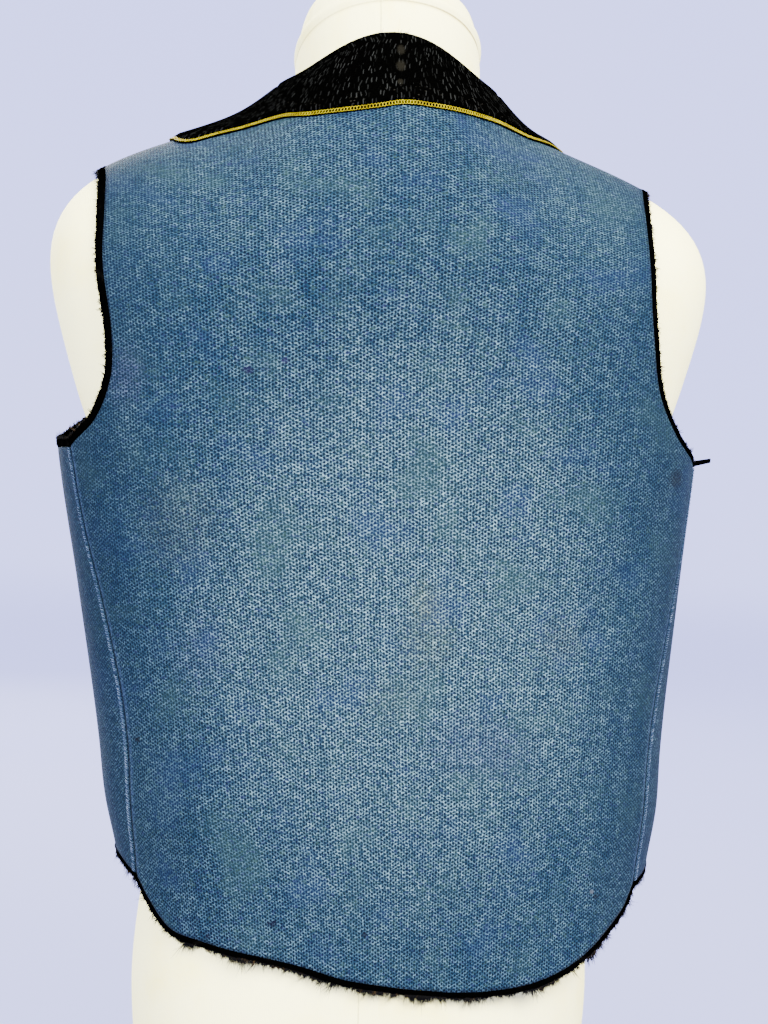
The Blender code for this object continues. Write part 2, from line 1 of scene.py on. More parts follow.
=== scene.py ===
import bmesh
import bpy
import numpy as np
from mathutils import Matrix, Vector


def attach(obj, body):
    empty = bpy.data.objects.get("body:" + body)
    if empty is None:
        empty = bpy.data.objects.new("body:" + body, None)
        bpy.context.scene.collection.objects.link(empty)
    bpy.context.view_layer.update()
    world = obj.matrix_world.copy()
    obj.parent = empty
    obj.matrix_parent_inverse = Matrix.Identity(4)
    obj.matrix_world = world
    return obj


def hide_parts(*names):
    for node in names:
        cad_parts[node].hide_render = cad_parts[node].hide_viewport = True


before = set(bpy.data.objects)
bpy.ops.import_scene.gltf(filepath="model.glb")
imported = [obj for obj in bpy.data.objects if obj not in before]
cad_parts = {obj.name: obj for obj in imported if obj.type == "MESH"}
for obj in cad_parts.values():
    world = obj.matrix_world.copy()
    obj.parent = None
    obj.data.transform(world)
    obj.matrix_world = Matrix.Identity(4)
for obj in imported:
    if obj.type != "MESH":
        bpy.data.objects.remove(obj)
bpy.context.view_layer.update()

# An embroidered folk vest on a limbless dress form, seen from behind.
# The vest's front faces -Y and +Z is up. Left and right are the wearer's, so the left is +X. The cloth
# pieces lie on the same smooth skin as the solids, which is repeated here from the part's source. All sizes
# are in metres.

# Cloth and seams
CLOTH = 0.0020
COLLAR_CLOTH = 0.0018
BRAID_WIDTH = 0.0034
BINDING_WIDTH = 0.0062
BINDING_THICKNESS = 0.0030
BINDING_SINK = 0.0004
SEAM_GAP = 0.0003
LAY_GAP = 0.0016
TAIL_LENGTH = 0.014
TAIL_LEAN = (0.12, 0.26)
TAIL_ROOM = 0.0040
BACKWARDS = np.array([0.0, 1.0, 0.0])

# The torso's surface: its sections are superellipses, and a curved roof makes the shoulders
SQUARENESS = 2.4
SHOULDER_SQUARENESS = 8.0
SHOULDER_BASE = 0.400
SHOULDER_PEAK = 0.6814
SHOULDER_SLOPE = 0.32
SHOULDER_TILT = 0.0145
SHOULDER_SOFTNESS = 0.02
SHOULDER_ARCH = 0.075
SHOULDER_DEPTH = 0.115
CORE_TOP = 0.520
CORE_SPREAD = 0.45
CORE_BLEND = (0.42, 0.56)
SEARCH = 0.25
SEARCH_HALVINGS = 40
REACH_LIMITS = (0.2, 4.0)
REACH_HALVINGS = 44
SLOPE_STEP = 1e-4
ANGLE_REACH = 0.2

FORM_SECTIONS = (
    ("height", "half_width", "back", "front"),
    (0.000, 0.150, 0.108, 0.104),
    (0.080, 0.156, 0.111, 0.106),
    (0.160, 0.149, 0.103, 0.102),
    (0.250, 0.141, 0.093, 0.098),
    (0.330, 0.151, 0.098, 0.107),
    (0.400, 0.171, 0.110, 0.118),
    (0.450, 0.196, 0.118, 0.121),
    (0.500, 0.213, 0.122, 0.117),
    (0.570, 0.230, 0.124, 0.108),
    (0.640, 0.232, 0.120, 0.098),
    (0.780, 0.230, 0.112, 0.090),
)

# The form's neck, a round post with a domed top
NECK_TOP = 0.757
NECK_BASE = 0.600
NECK_RADIUS = 0.0645
NECK_SQUARENESS = 5.4
NECK_FILLET = 0.006

# The vest's inside, clear of the form. Sway moves a section towards the wearer's left
VEST_SECTIONS = (
    ("height", "half_width", "back", "front", "sway"),
    (0.060, 0.168, 0.113, 0.111, -0.017),
    (0.100, 0.172, 0.115, 0.113, -0.016),
    (0.165, 0.181, 0.118, 0.117, -0.0135),
    (0.200, 0.188, 0.119, 0.1185, -0.012),
    (0.240, 0.1915, 0.120, 0.120, -0.010),
    (0.344, 0.2045, 0.122, 0.123, -0.0055),
    (0.438, 0.2170, 0.1235, 0.125, -0.0015),
    (0.500, 0.2215, 0.1240, 0.121, 0.000),
    (0.570, 0.2315, 0.1255, 0.110, 0.000),
    (0.640, 0.2335, 0.1215, 0.100, 0.000),
    (0.780, 0.2315, 0.1135, 0.092, 0.000),
)
VEST_CLEARANCE = 0.0013

# Soft flutes that run up from the hem. A negative depth is a trough
FLUTES = (
    ("angle", "width", "depth"),
    (44.0, 12.0, 0.0030),
    (63.0, 10.0, -0.0030),
    (12.0, 14.0, 0.0018),
    (-16.0, 12.0, -0.0020),
    (-44.0, 14.0, 0.0026),
    (-64.0, 10.0, -0.0022),
    (118.0, 14.0, 0.0028),
    (146.0, 12.0, -0.0024),
    (-122.0, 13.0, 0.0026),
    (-150.0, 12.0, -0.0022),
)
FLUTE_FOOT = 0.110
FLUTE_TOP = 0.330

# The neck edge, a ring round the form's neck, and the cone of cloth from it down to the shoulders
RING_HALF_WIDTH = 0.0705
RING_HALF_DEPTH = 0.0710
RING_HEIGHT = 0.6819
RING_TILT = 0.500
RING_TURN = 0.030
RING_PEAK = 2.7
RING_LEAN = np.radians(5.0)
CONE_HALF_WIDTH = {"left": 0.1360, "right": 0.1203}
CONE_HALF_DEPTH = 0.1030
CONE_HEIGHT = 0.0600
CONE_SOFTNESS = 0.012

# Where the cloth is cut. Angles are from the middle of the back, heights from the form's foot
SEAM_ANGLES = (
    ("height", "left", "right"),
    (0.155, 74.0, -70.0),
    (0.205, 71.5, -69.6),
    (0.260, 70.5, -70.3),
    (0.330, 73.0, -73.7),
    (0.380, 76.0, -77.0),
    (0.436, 78.0, -80.0),
)
BACK_HEM = (
    ("angle", "height"),
    (-70.0, 0.1475),
    (-65.7, 0.1371),
    (-61.7, 0.1284),
    (-55.4, 0.1162),
    (-50.0, 0.1076),
    (-39.4, 0.0962),
    (-28.5, 0.0912),
    (-17.9, 0.0897),
    (-3.5, 0.0917),
    (7.9, 0.0947),
    (17.2, 0.0976),
    (33.6, 0.1073),
    (43.2, 0.1117),
    (56.0, 0.1175),
    (65.7, 0.1236),
    (70.5, 0.1394),
    (74.0, 0.1515),
)
# Past the seams the hem climbs a little, then dips to the rounded corners at the front edges
FRONT_HEM = (
    ("angle", "height"),
    (82.0, 0.1640),
    (100.0, 0.1665),
    (125.0, 0.1600),
    (150.0, 0.1520),
)
FRONT_CORNER = (
    ("side", "height"),
    (0.0420, 0.1475),
    (0.0250, 0.1500),
    (0.0140, 0.1570),
)
FRONT_EDGE = (
    ("side", "height"),
    (0.0090, 0.1680),
    (0.0080, 0.1850),
    (0.0075, 0.3000),
    (0.0075, 0.4150),
)
BACK_ARMHOLE = (
    ("height", "left", "right"),
    (0.4550, 0.1920, 0.1940),
    (0.4800, 0.1835, 0.1790),
    (0.5100, 0.1835, 0.1725),
    (0.5500, 0.1900, 0.1683),
    (0.5900, 0.1905, 0.1680),
    (0.6120, 0.1900, 0.1700),
)
UNDERARM = (
    ("side", "forward", "height"),
    (0.2140, 0.0100, 0.4370),
    (0.2060, 0.0440, 0.4430),
)
FRONT_ARMHOLE = (
    ("height", "left", "right"),
    (0.4560, 0.1930, 0.1920),
    (0.4850, 0.1770, 0.1720),
    (0.5300, 0.1700, 0.1620),
    (0.5800, 0.1740, 0.1630),
    (0.6100, 0.1820, 0.1700),
)
SHOULDER_TIP = {"left": 0.1880, "right": 0.1755}

# The neckline of the blue cloth in front, from the shoulder down to the front edge
FRONT_NECKLINE = (
    ("side", "forward", "height"),
    (0.0730, 0.0300, 0.6720),
    (0.0690, 0.0600, 0.6450),
    (0.0620, 0.0860, 0.5950),
    (0.0500, 0.1040, 0.5350),
    (0.0320, 0.1160, 0.4720),
)
NECKLINE_DROP = 0.0030

# The collar's outer edge behind, from the left shoulder to the right, and in front on the left
COLLAR_BACK = (
    ("side", "behind", "height"),
    (0.1331, 0.0380, 0.6406),
    (0.1183, 0.0405, 0.6451),
    (0.1051, 0.0454, 0.6486),
    (0.0886, 0.0560, 0.6534),
    (0.0762, 0.0677, 0.6566),
    (0.0586, 0.0857, 0.6573),
    (0.0409, 0.0949, 0.6595),
    (0.0167, 0.0995, 0.6635),
    (0.0042, 0.0990, 0.6662),
    (-0.0213, 0.0954, 0.6653),
    (-0.0347, 0.0900, 0.6642),
    (-0.0490, 0.0809, 0.6625),
    (-0.0648, 0.0657, 0.6605),
    (-0.0777, 0.0520, 0.6577),
    (-0.0912, 0.0383, 0.6544),
)
COLLAR_SHOULDER = {"left": 0.1440, "right": 0.1200}
COLLAR_FRONT = (
    ("side", "forward", "height"),
    (0.1210, 0.0450, 0.6350),
    (0.1080, 0.0800, 0.5900),
    (0.0840, 0.1020, 0.5350),
    (0.0560, 0.1150, 0.4800),
    (0.0300, 0.1200, 0.4380),
)
COLLAR_POINT = 0.0160

# Mesh steps along the edges
SEAM_STEPS = 120
ARMHOLE_STEPS = 90
UNDERARM_STEPS = 24
FRONT_ARMHOLE_STEPS = 84
SHOULDER_STEPS = 32
FRONT_SHOULDER_STEPS = 60
NECKLINE_STEPS = 96
COLLAR_COLUMNS = 24
TAIL_STEPS = 7
STEPS_PER_CORNER = 6
FINE_STEPS = 10
CORNER_REACH = 0.0060
THREAD_STEP = 0.0016
THREAD_SLANT = 0.0016
THREADS_LEFT = 0.86
THREAD_RADIUS = 0.00020

# Cloth's dot lattice, staggered row by row: two columns across and two rows up
WEAVE_ACROSS = 0.00400
WEAVE_ALONG = 0.00246

# Widths of the velvet strips that show. Fray fills the rest of each solid binding.
STRIP_WIDTH = {
    "armhole_binding_left": 0.0058,
    "armhole_binding_right": 0.0040,
    "edge_binding_left": 0.0038,
    "edge_binding_right": 0.0038,
}

FIBRES_PER_TUFT = 11
TUFT_SPREAD = 0.0006

# Worn places on the collar behind the neck: x, z, half width and half height
WORN_SPOTS = (
    (0.0020, 0.7031, 0.0026, 0.0034),
    (0.0026, 0.6914, 0.0032, 0.0036),
    (0.0035, 0.6800, 0.0020, 0.0020),
)

# Fray along the strips: how many fibres, how long they stand and how they droop. Some of them are brown
FRAY = {"edge": (10500, 0.0021, -0.25), "armhole": (6500, 0.0015, 0.0)}
BROWN_FIBRES = 800
BROWN_LONGER = 1.15
HEM_TOP = 0.20

# Fray along the top of the collar: its fibres, least weight, half width, length, seed and colour
COLLAR_FRAY = (
    ("collar_fray", 1500, 0.2, 0.035, 0.0014, 301, "black"),
    ("collar_brown_fray", 420, 0.02, 0.020, 0.0015, 303, "brown"),
)
COLLAR_FRAY_INSET = 0.0010
COLLAR_FRAY_MARGIN = 40

# Places along the hem where fray clumps, as x, half width and weight, and a strand that has come loose
HEM_CLUMPS = (
    (-0.0285, 0.0045, 9.0),
    (0.0080, 0.0060, 4.0),
    (-0.0600, 0.0060, 2.5),
    (0.0450, 0.0080, 2.5),
    (0.0900, 0.0060, 3.0),
    (-0.1050, 0.0050, 2.0),
)
STRAND = {"x": 0.0130, "spread": 0.0035, "threads": 90, "length": 0.0165, "way": (-1.0, 0.02, -0.30)}

SKY_COLOUR = (0.90, 0.92, 1.0, 1)
SKY_STRENGTH = 1.75
LIGHTS_AIM = (0, 0, 0.42)
BACKDROP_GLOW = (1.05, 1.12, 2.50, 1.0)
LIGHTS = (
    ("name", "x", "y", "z", "size", "watts", "colour"),
    ("key", -1.30, 2.50, 2.00, 1.8, 700.0, (1.0, 0.985, 0.96)),
    ("fill", 1.90, 2.30, 1.20, 2.2, 380.0, (0.97, 0.98, 1.0)),
    ("front", 0.60, -2.60, 1.70, 2.4, 400.0, (1.0, 0.99, 0.97)),
    ("top", 0.0, 0.0, 3.20, 2.6, 200.0, (1.0, 1.0, 1.0)),
)

# Soft creases, each a line on the back or front with its width and height. A negative height is a trough
CREASES = (
    ("side", "x", "z", "to_x", "to_z", "width", "height"),
    (1, 0.186, 0.425, 0.120, 0.300, 0.013, -0.0013),
    (1, 0.172, 0.385, 0.098, 0.250, 0.015, 0.0012),
    (1, -0.190, 0.415, -0.128, 0.318, 0.012, -0.0013),
    (1, -0.176, 0.360, -0.116, 0.240, 0.014, 0.0012),
    (1, -0.034, 0.090, -0.028, 0.300, 0.010, -0.0014),
    (1, 0.030, 0.095, 0.038, 0.265, 0.012, 0.0013),
    (1, 0.074, 0.105, 0.070, 0.235, 0.010, -0.0012),
    (1, -0.084, 0.110, -0.074, 0.290, 0.011, 0.0013),
    (1, -0.120, 0.125, -0.104, 0.250, 0.010, -0.0012),
    (1, 0.118, 0.125, 0.112, 0.260, 0.011, 0.0012),
    (1, 0.095, 0.560, 0.020, 0.545, 0.014, 0.0008),
    (1, -0.110, 0.548, -0.030, 0.540, 0.012, -0.0006),
    (-1, 0.182, 0.425, 0.110, 0.340, 0.013, -0.0013),
    (-1, 0.168, 0.390, 0.090, 0.290, 0.015, 0.0012),
    (-1, -0.180, 0.430, -0.120, 0.355, 0.012, -0.0012),
    (-1, -0.160, 0.375, -0.095, 0.300, 0.015, 0.0013),
    (-1, 0.052, 0.150, 0.046, 0.310, 0.011, -0.0013),
    (-1, 0.105, 0.160, 0.088, 0.330, 0.013, 0.0013),
    (-1, -0.044, 0.150, -0.050, 0.290, 0.012, 0.0012),
    (-1, -0.098, 0.160, -0.076, 0.320, 0.012, -0.0013),
    (-1, -0.140, 0.165, -0.128, 0.280, 0.012, 0.0010),
)
SEAM_RIDGE = {"away": 0.0024, "width": 0.0014, "height": 0.0007}
SEAM_GROOVE = {"width": 0.0008, "height": -0.0005}

# Marks on the cloth, and a patch of painted shade: where they are, how large, how strong, and their colour
MARKS = (
    ("side", "x", "z", "wide", "high", "strength", "red", "green", "blue"),
    (1, 0.0982, 0.4884, 0.0042, 0.0030, 0.85, 0.0024, 0.0014, 0.0108),
    (1, 0.0750, 0.4955, 0.0034, 0.0022, 0.55, 0.0072, 0.0036, 0.0192),
    (1, 0.0860, 0.4915, 0.0022, 0.0050, 0.40, 0.0119, 0.0068, 0.0289),
    (1, 0.0706, 0.1328, 0.0034, 0.0026, 0.80, 0.0014, 0.0012, 0.0054),
    (1, 0.1103, 0.1213, 0.0024, 0.0024, 0.75, 0.0014, 0.0012, 0.0054),
    (1, -0.1457, 0.1502, 0.0028, 0.0024, 0.80, 0.0012, 0.0012, 0.0036),
    (1, -0.1420, 0.1530, 0.0020, 0.0020, 0.70, 0.0420, 0.0480, 0.0540),
    (1, 0.1596, 0.2457, 0.0022, 0.0022, 0.85, 0.0012, 0.0012, 0.0030),
    (1, 0.0112, 0.1284, 0.0022, 0.0022, 0.70, 0.0018, 0.0012, 0.0036),
    (1, 0.1760, 0.4830, 0.0120, 0.0180, 0.48, 0.0204, 0.0136, 0.0442),
    (1, -0.0529, 0.2519, 0.0260, 0.0220, 0.43, 0.0170, 0.0153, 0.0476),
    (1, -0.0800, 0.2450, 0.0200, 0.0180, 0.32, 0.0187, 0.0170, 0.0493),
    (1, 0.1222, 0.3078, 0.0180, 0.0260, 0.27, 0.0204, 0.0187, 0.0510),
    (1, -0.0200, 0.3448, 0.0100, 0.0130, 0.46, 0.0720, 0.0860, 0.0400),
    (1, -0.0229, 0.3191, 0.0180, 0.0200, 0.40, 0.0560, 0.0700, 0.0380),
    (1, -0.0028, 0.2801, 0.0200, 0.0160, 0.24, 0.0480, 0.0600, 0.0380),
    (1, 0.1380, 0.3900, 0.0240, 0.0300, 0.32, 0.0380, 0.0430, 0.0300),
    # Painted shade: the lower left of the back, darker where less light falls on it
    (1, 0.1460, 0.2000, 0.0240, 0.0600, 0.42, 0.0102, 0.0221, 0.0238),
    (1, -0.1112, 0.3206, 0.0160, 0.0140, 0.22, 0.0680, 0.0680, 0.0510),
    (1, -0.1960, 0.4280, 0.0060, 0.0060, 0.60, 0.0024, 0.0030, 0.0048),
    (-1, 0.0900, 0.2300, 0.0160, 0.0120, 0.34, 0.0680, 0.0646, 0.0425),
    (-1, -0.1150, 0.3500, 0.0140, 0.0180, 0.30, 0.0646, 0.0629, 0.0442),
    (-1, -0.0600, 0.2000, 0.0030, 0.0030, 0.70, 0.0014, 0.0012, 0.0054),
)

# The unrolled section that the weave runs on
MEAN_HALF_WIDTH = 0.2050
MEAN_DEPTH = 0.1220
TURN_BLEND = (0.88, 0.96)

# Where the back is faded most, and how far that reaches to the sides and up and down
FADED_MIDDLE = (-0.010, 0.330)
FADED_SIZE = (0.150, 0.210)

# The collar's rolled edge, plump between its outer lines
COLLAR_PLUMP = 0.0009
PLUMP_SHARE = 0.06
COLLAR_UNEVEN = 0.00018

# Velvet strips: rounded, and a little uneven
STRIP_SIDES = 14
STRIP_POWER = 0.70
STRIP_LUMPS = 0.00025
LUMP_LENGTH = 0.004
STRIP_UV_WIDTH = 0.018

# Chain braid
LINK_STEP = 0.00200
LINK_HALF_LENGTH = 0.00125
LINK_HALF_WIDTH = 0.00138
LINK_THREAD = 0.00030
LINK_RINGS = 14
LINK_SIDES = 5
LINK_LIFT = 0.00022
TAPE_INSET = 0.0003

# Dress form
FORM_SIDES = 168
FORM_FOOT = {"height": 0.004, "inset": 0.975}
TRUNK_ROWS = 78
TRUNK_TOP = 0.515
TRUNK_HALVES = np.array([0.20, 0.12])
SHOULDER_ROWS = 44
SHOULDER_HEIGHTS = (0.52, 0.690)
SHOULDER_HALVES = np.array([[0.222, 0.122], [0.072, 0.070]])
NECK_ROWS = 62
NECK_HEIGHTS = (0.6920, 0.7563)
GIRTH_ROW = 40
KNIT_ACROSS = 0.0011
KNIT_ALONG = 0.0009
FORM_SEAM = {"x": 0.0128, "width": 0.0012, "depth": 0.0005}
NECK_SEAM = {
    "from": 0.670,
    "height": 0.7091,
    "tilt": 0.57,
    "width": 0.0014,
    "depth": 0.0008,
    "roll": 0.0020,
    "roll_away": 0.0050,
    "roll_width": 0.0040,
}

# Camera, from behind and a little to the wearer's left
YAW = np.radians(7.0)
ROLL = np.radians(1.87)
DISTANCE = 1.75
EYE_HEIGHT = 0.424
FOCAL_PIXELS = 2537.0
LONG_SIDE_PIXELS = 1024
SENSOR = 36.0
AIM_PIXELS = (-9.4, -37.0)

STAGE_RADIUS = 7.0
STAGE_BEND = 2.5
STAGE_HEIGHT = 5.1
STAGE_SIDES = 96
STAGE_DROP = 0.0003


def hermite(x, y, at):
    """Reads y at the given places, on a smooth curve through its values at x."""
    slope = np.gradient(y, x)
    at = np.clip(np.asarray(at, float), x[0], x[-1])
    i = np.clip(np.searchsorted(x, at) - 1, 0, len(x) - 2)
    step = x[i + 1] - x[i]
    t = (at - x[i]) / step
    near = y[i] * (1 + 2 * t) * (1 - t) ** 2 + slope[i] * step * t * (1 - t) ** 2
    return near + y[i + 1] * t * t * (3 - 2 * t) - slope[i + 1] * step * t * t * (1 - t)


def column(table, name):
    return np.array([row[table[0].index(name)] for row in table[1:]], float)


def smooth(table, name, at):
    """Reads a column of a table at the given heights."""
    return hermite(column(table, "height"), column(table, name), at)


def soft_max(a, b, softness):
    return 0.5 * (a + b + np.sqrt((a - b) ** 2 + softness**2))


def soft_min(a, b, reach_of_fillet):
    near = np.maximum(reach_of_fillet - np.abs(a - b), 0) / reach_of_fillet
    return np.minimum(a, b) - near**2 * reach_of_fillet / 4


def smooth_step(low, high, at):
    t = np.clip((at - low) / (high - low), 0, 1)
    return t * t * (3 - 2 * t)


def shoulder_roof(x, y):
    """The height of the shoulders over a point of the floor."""
    ridge = SHOULDER_PEAK - SHOULDER_SLOPE * (np.hypot(x, SHOULDER_SOFTNESS) - SHOULDER_SOFTNESS)
    return ridge + SHOULDER_TILT * x - SHOULDER_ARCH * (y / SHOULDER_DEPTH) ** 2


def torso(x, y, z, sections, roof):
    """A field that is 1 on the torso's surface and less inside it."""
    depth = np.where(y > 0, smooth(sections, "back", z), smooth(sections, "front", z))
    width = smooth(sections, "half_width", z)
    around = (np.abs(x / width) ** SQUARENESS + np.abs(y / depth) ** SQUARENESS) ** (1 / SQUARENESS)
    above = np.maximum(z - SHOULDER_BASE, 0) / (roof - SHOULDER_BASE)
    return (around**SHOULDER_SQUARENESS + above**SHOULDER_SQUARENESS) ** (1 / SHOULDER_SQUARENESS)


def form_field(points):
    """The dress form: the torso and the neck, run into each other over a soft fillet."""
    x, y, z = points.T
    body = (torso(x, y, z, FORM_SECTIONS, shoulder_roof(x, y)) - 1) * SHOULDER_DEPTH
    up = np.maximum((z - NECK_BASE) / (NECK_TOP - NECK_BASE), 0)
    around = np.hypot(x, y) / NECK_RADIUS
    post = (around**NECK_SQUARENESS + up**NECK_SQUARENESS) ** (1 / NECK_SQUARENESS)
    return 1 + soft_min(body, (post - 1) * NECK_RADIUS, NECK_FILLET)


def ring_rise(x, y):
    """How much the neck edge climbs from the shoulders to the nape. In front it stays near level."""
    from_nape = np.cos(np.arctan2(x, y) - RING_LEAN)
    peak = np.clip(from_nape, 0, 1) ** RING_PEAK
    return peak * RING_TILT * 0.5 * (y + np.hypot(y, RING_TURN) - RING_TURN)


def neck_cone(x, y):
    """The height of the cloth that climbs from the shoulders to the neck edge."""
    angle = np.arctan2(y, x)
    side, along = np.cos(angle), np.sin(angle)
    inner = 1 / np.hypot(side / RING_HALF_WIDTH, along / RING_HALF_DEPTH)
    half_width = np.where(x > 0, CONE_HALF_WIDTH["left"], CONE_HALF_WIDTH["right"])
    outer = 1 / np.hypot(side / half_width, along / CONE_HALF_DEPTH)
    down = (np.hypot(x, y) - inner) / (outer - inner)
    return RING_HEIGHT + ring_rise(x, y) - CONE_HEIGHT * down


def flute(angle, z):
    """How far the flutes push the cloth out, fading from the hem to the waist."""
    push = 0 * angle
    for middle, width, depth in FLUTES[1:]:
        push = push + depth * np.exp(-(((angle - middle) / width) ** 2))
    return push * (1 - smooth_step(FLUTE_FOOT, FLUTE_TOP, z))


def vest_field(points):
    """The inside of the vest."""
    x, y, z = points.T
    x = x - smooth(VEST_SECTIONS, "sway", z)
    roof = soft_max(shoulder_roof(x, y), neck_cone(x, y), CONE_SOFTNESS) + VEST_CLEARANCE
    push = flute(np.degrees(np.arctan2(x, y)), z)
    return torso(x, y, z, VEST_SECTIONS, roof) - push / np.maximum(np.hypot(x, y), CLOTH)


def reach(field, points):
    """Moves points onto a field's surface, straight out from the core inside it."""
    points = np.array(points, float)
    x, y, z = points.T
    spread = CORE_SPREAD * smooth_step(*CORE_BLEND, z)
    core = np.stack([spread * x, 0 * y, np.minimum(z, CORE_TOP)], 1)
    if field is vest_field:
        core[:, 0] += (1 - spread) * smooth(VEST_SECTIONS, "sway", z)
    way = points - core
    low, high = (np.full(len(points), limit) for limit in REACH_LIMITS)
    for _ in range(REACH_HALVINGS):
        middle = 0.5 * (low + high)
        outside = field(core + way * middle[:, None]) > 1
        high = np.where(outside, middle, high)
        low = np.where(outside, low, middle)
    return core + way * low[:, None]


def unit(vectors):
    return vectors / np.linalg.norm(vectors, axis=-1, keepdims=True)


def outward(points, field=vest_field):
    """A field's unit normals at points of its skin."""
    flat = points.reshape(-1, 3)
    slopes = [field(flat + SLOPE_STEP * axis) - field(flat - SLOPE_STEP * axis) for axis in np.eye(3)]
    return unit(np.stack(slopes, 1)).reshape(points.shape)


def lengths(line):
    """How far each of a line's points is along it."""
    return np.concatenate([[0], np.cumsum(np.linalg.norm(np.diff(line, axis=0), axis=1))])


def read_line(line, at, places):
    """Reads a line of points or of vectors at places along it, where at holds its own points' places."""
    return np.stack([np.interp(places, at, axis) for axis in line.T], -1)


def even(points, steps):
    """Points at even steps along a polyline."""
    at = lengths(points)
    return read_line(points, at, np.linspace(0, at[-1], steps + 1))


def curve(placed, steps):
    """Even steps along a smooth curve through a few placed points, on the vest's skin."""
    placed = np.array(placed, float)
    at = lengths(placed)
    fine = np.linspace(0, at[-1], 30 * len(placed))
    return even(reach(vest_field, np.stack([hermite(at, axis, fine) for axis in placed.T], 1)), steps)


def sideways(points):
    """Unit vectors in the skin, across a line of its points: the line's way crossed with the normal."""
    return unit(np.cross(unit(np.gradient(points, axis=0)), outward(points)))


def at_angle(angle, height):
    """A point of the skin at an angle from the middle of the back."""
    turn = np.radians(angle)
    sway = float(smooth(VEST_SECTIONS, "sway", height))
    return (sway + ANGLE_REACH * np.sin(turn), ANGLE_REACH * np.cos(turn), height)


def solve(low, high, point_at):
    """The place between low and high where a line of points leaves the vest's inside."""
    for _ in range(SEARCH_HALVINGS):
        middle = 0.5 * (low + high)
        outside = vest_field(np.array([point_at(middle)]))[0] > 1
        low, high = (low, middle) if outside else (middle, high)
    return point_at(low)


def behind(x, height):
    """The point of the back with this side place and height."""
    return solve(0.0, SEARCH, lambda y: (x, y, height))


def in_front(x, height):
    """The point of the front with this side place and height."""
    return solve(0.0, SEARCH, lambda y: (x, -y, height))


def on_top(x, y):
    """The point of the shoulders over this place of the floor."""
    return solve(CORE_TOP, CORE_TOP + SEARCH, lambda z: (x, y, z))


def rows(table, *names):
    return list(zip(*(column(table, name) for name in names)))


def outlines(side):
    """The cut edges of one side: lines of points on the skin, from the hem up and from the side inwards."""
    sign = 1 if side == "left" else -1
    placed = [at_angle(angle, height) for height, angle in rows(SEAM_ANGLES, "height", side)]
    seam = curve(placed, SEAM_STEPS)
    tip, neck_point = on_top(sign * SHOULDER_TIP[side], 0.0), neckline_point(0.0 if sign > 0 else np.pi)
    ridge = [on_top(x, 0.0) for x in np.linspace(tip[0], neck_point[0], SHOULDER_STEPS + 1)]
    shoulder = curve(ridge, SHOULDER_STEPS)
    back_arm = [behind(sign * x, height) for height, x in rows(BACK_ARMHOLE, "height", side)]
    under = [(sign * x, -y, z) for x, y, z in rows(UNDERARM, "side", "forward", "height")]
    front_arm = [in_front(sign * x, height) for height, x in rows(FRONT_ARMHOLE, "height", side)]
    steps = FINE_STEPS * (UNDERARM_STEPS + FRONT_ARMHOLE_STEPS)
    armhole = curve([seam[-1], *under, *front_arm, shoulder[0]], steps)
    turn = FINE_STEPS * UNDERARM_STEPS
    hem = [at_angle(sign * angle, height) for angle, height in rows(FRONT_HEM, "angle", "height")]
    corner = [in_front(sign * x, height) for x, height in rows(FRONT_CORNER, "side", "height")]
    edge = [in_front(sign * x, height) for x, height in rows(FRONT_EDGE, "side", "height")]
    neckline = [(sign * x, -y, z) for x, y, z in rows(FRONT_NECKLINE, "side", "forward", "height")]
    front_hem = curve([seam[0], *hem, *corner], UNDERARM_STEPS + FRONT_SHOULDER_STEPS)
    front_edge = curve([front_hem[-1], *edge], SEAM_STEPS)
    return {
        "seam": seam,
        "back_armhole": curve([seam[-1], *back_arm, shoulder[0]], ARMHOLE_STEPS),
        "underarm": even(armhole[: turn + 1], UNDERARM_STEPS),
        "front_armhole": even(armhole[turn:], FRONT_ARMHOLE_STEPS),
        "shoulder": shoulder,
        "front_hem": front_hem,
        "front_edge": front_edge,
        "front_neckline": curve([front_edge[-1], *neckline[::-1], shoulder[-1]], FRONT_ARMHOLE_STEPS),
    }


def neckline_point(angle):
    """A point of the blue cloth's neckline, a little way down the cone from the neck edge."""
    x = np.cos(angle) * (RING_HALF_WIDTH + NECKLINE_DROP)
    y = np.sin(angle) * (RING_HALF_DEPTH + NECKLINE_DROP)
    return on_top(x, y)


def chain(*lines):
    """Joins lines end to end, each starting where the last one ends."""
    return np.concatenate([lines[0], *(line[1:] for line in lines[1:])])


def sheet_points(bottom, top, left, right):
    """A grid of skin points between four edges: the edges' blend, moved out onto the skin."""
    v = np.linspace(0, 1, len(left))[:, None, None]
    u = np.linspace(0, 1, len(bottom))[None, :, None]
    across = (1 - v) * bottom[None] + v * top[None]
    along = (1 - u) * left[:, None] + u * right[:, None]
    corners = (1 - v) * ((1 - u) * bottom[0] + u * bottom[-1]) + v * ((1 - u) * top[0] + u * top[-1])
    grid = across + along - corners
    inner = grid[1:-1, 1:-1]
    grid[1:-1, 1:-1] = reach(vest_field, inner.reshape(-1, 3)).reshape(inner.shape)
    return grid


def ribbon(points, across, normals, profile):
    """Rings for a strip along a line of points: each profile corner is a distance across and out."""
    return np.stack([points + a * across + n * normals for a, n in profile], 1)


def shifted(line, distance):
    """A seam's line moved half the seam's gap into one of its two pieces."""
    return line + distance * sideways(line)


def back_neckline(left, right):
    """The blue cloth's neckline behind, from the left shoulder to the right."""
    placed = [neckline_point(angle) for angle in np.linspace(0, np.pi, NECKLINE_STEPS + 1)]
    return curve([left["shoulder"][-1], *placed[1:-1], right["shoulder"][-1]], NECKLINE_STEPS)


def back_hem(left_end, right_end):
    placed = [at_angle(angle, height) for angle, height in rows(BACK_HEM, "angle", "height")][::-1]
    return curve([left_end, *placed[1:-1], right_end], 2 * SHOULDER_STEPS + NECKLINE_STEPS)


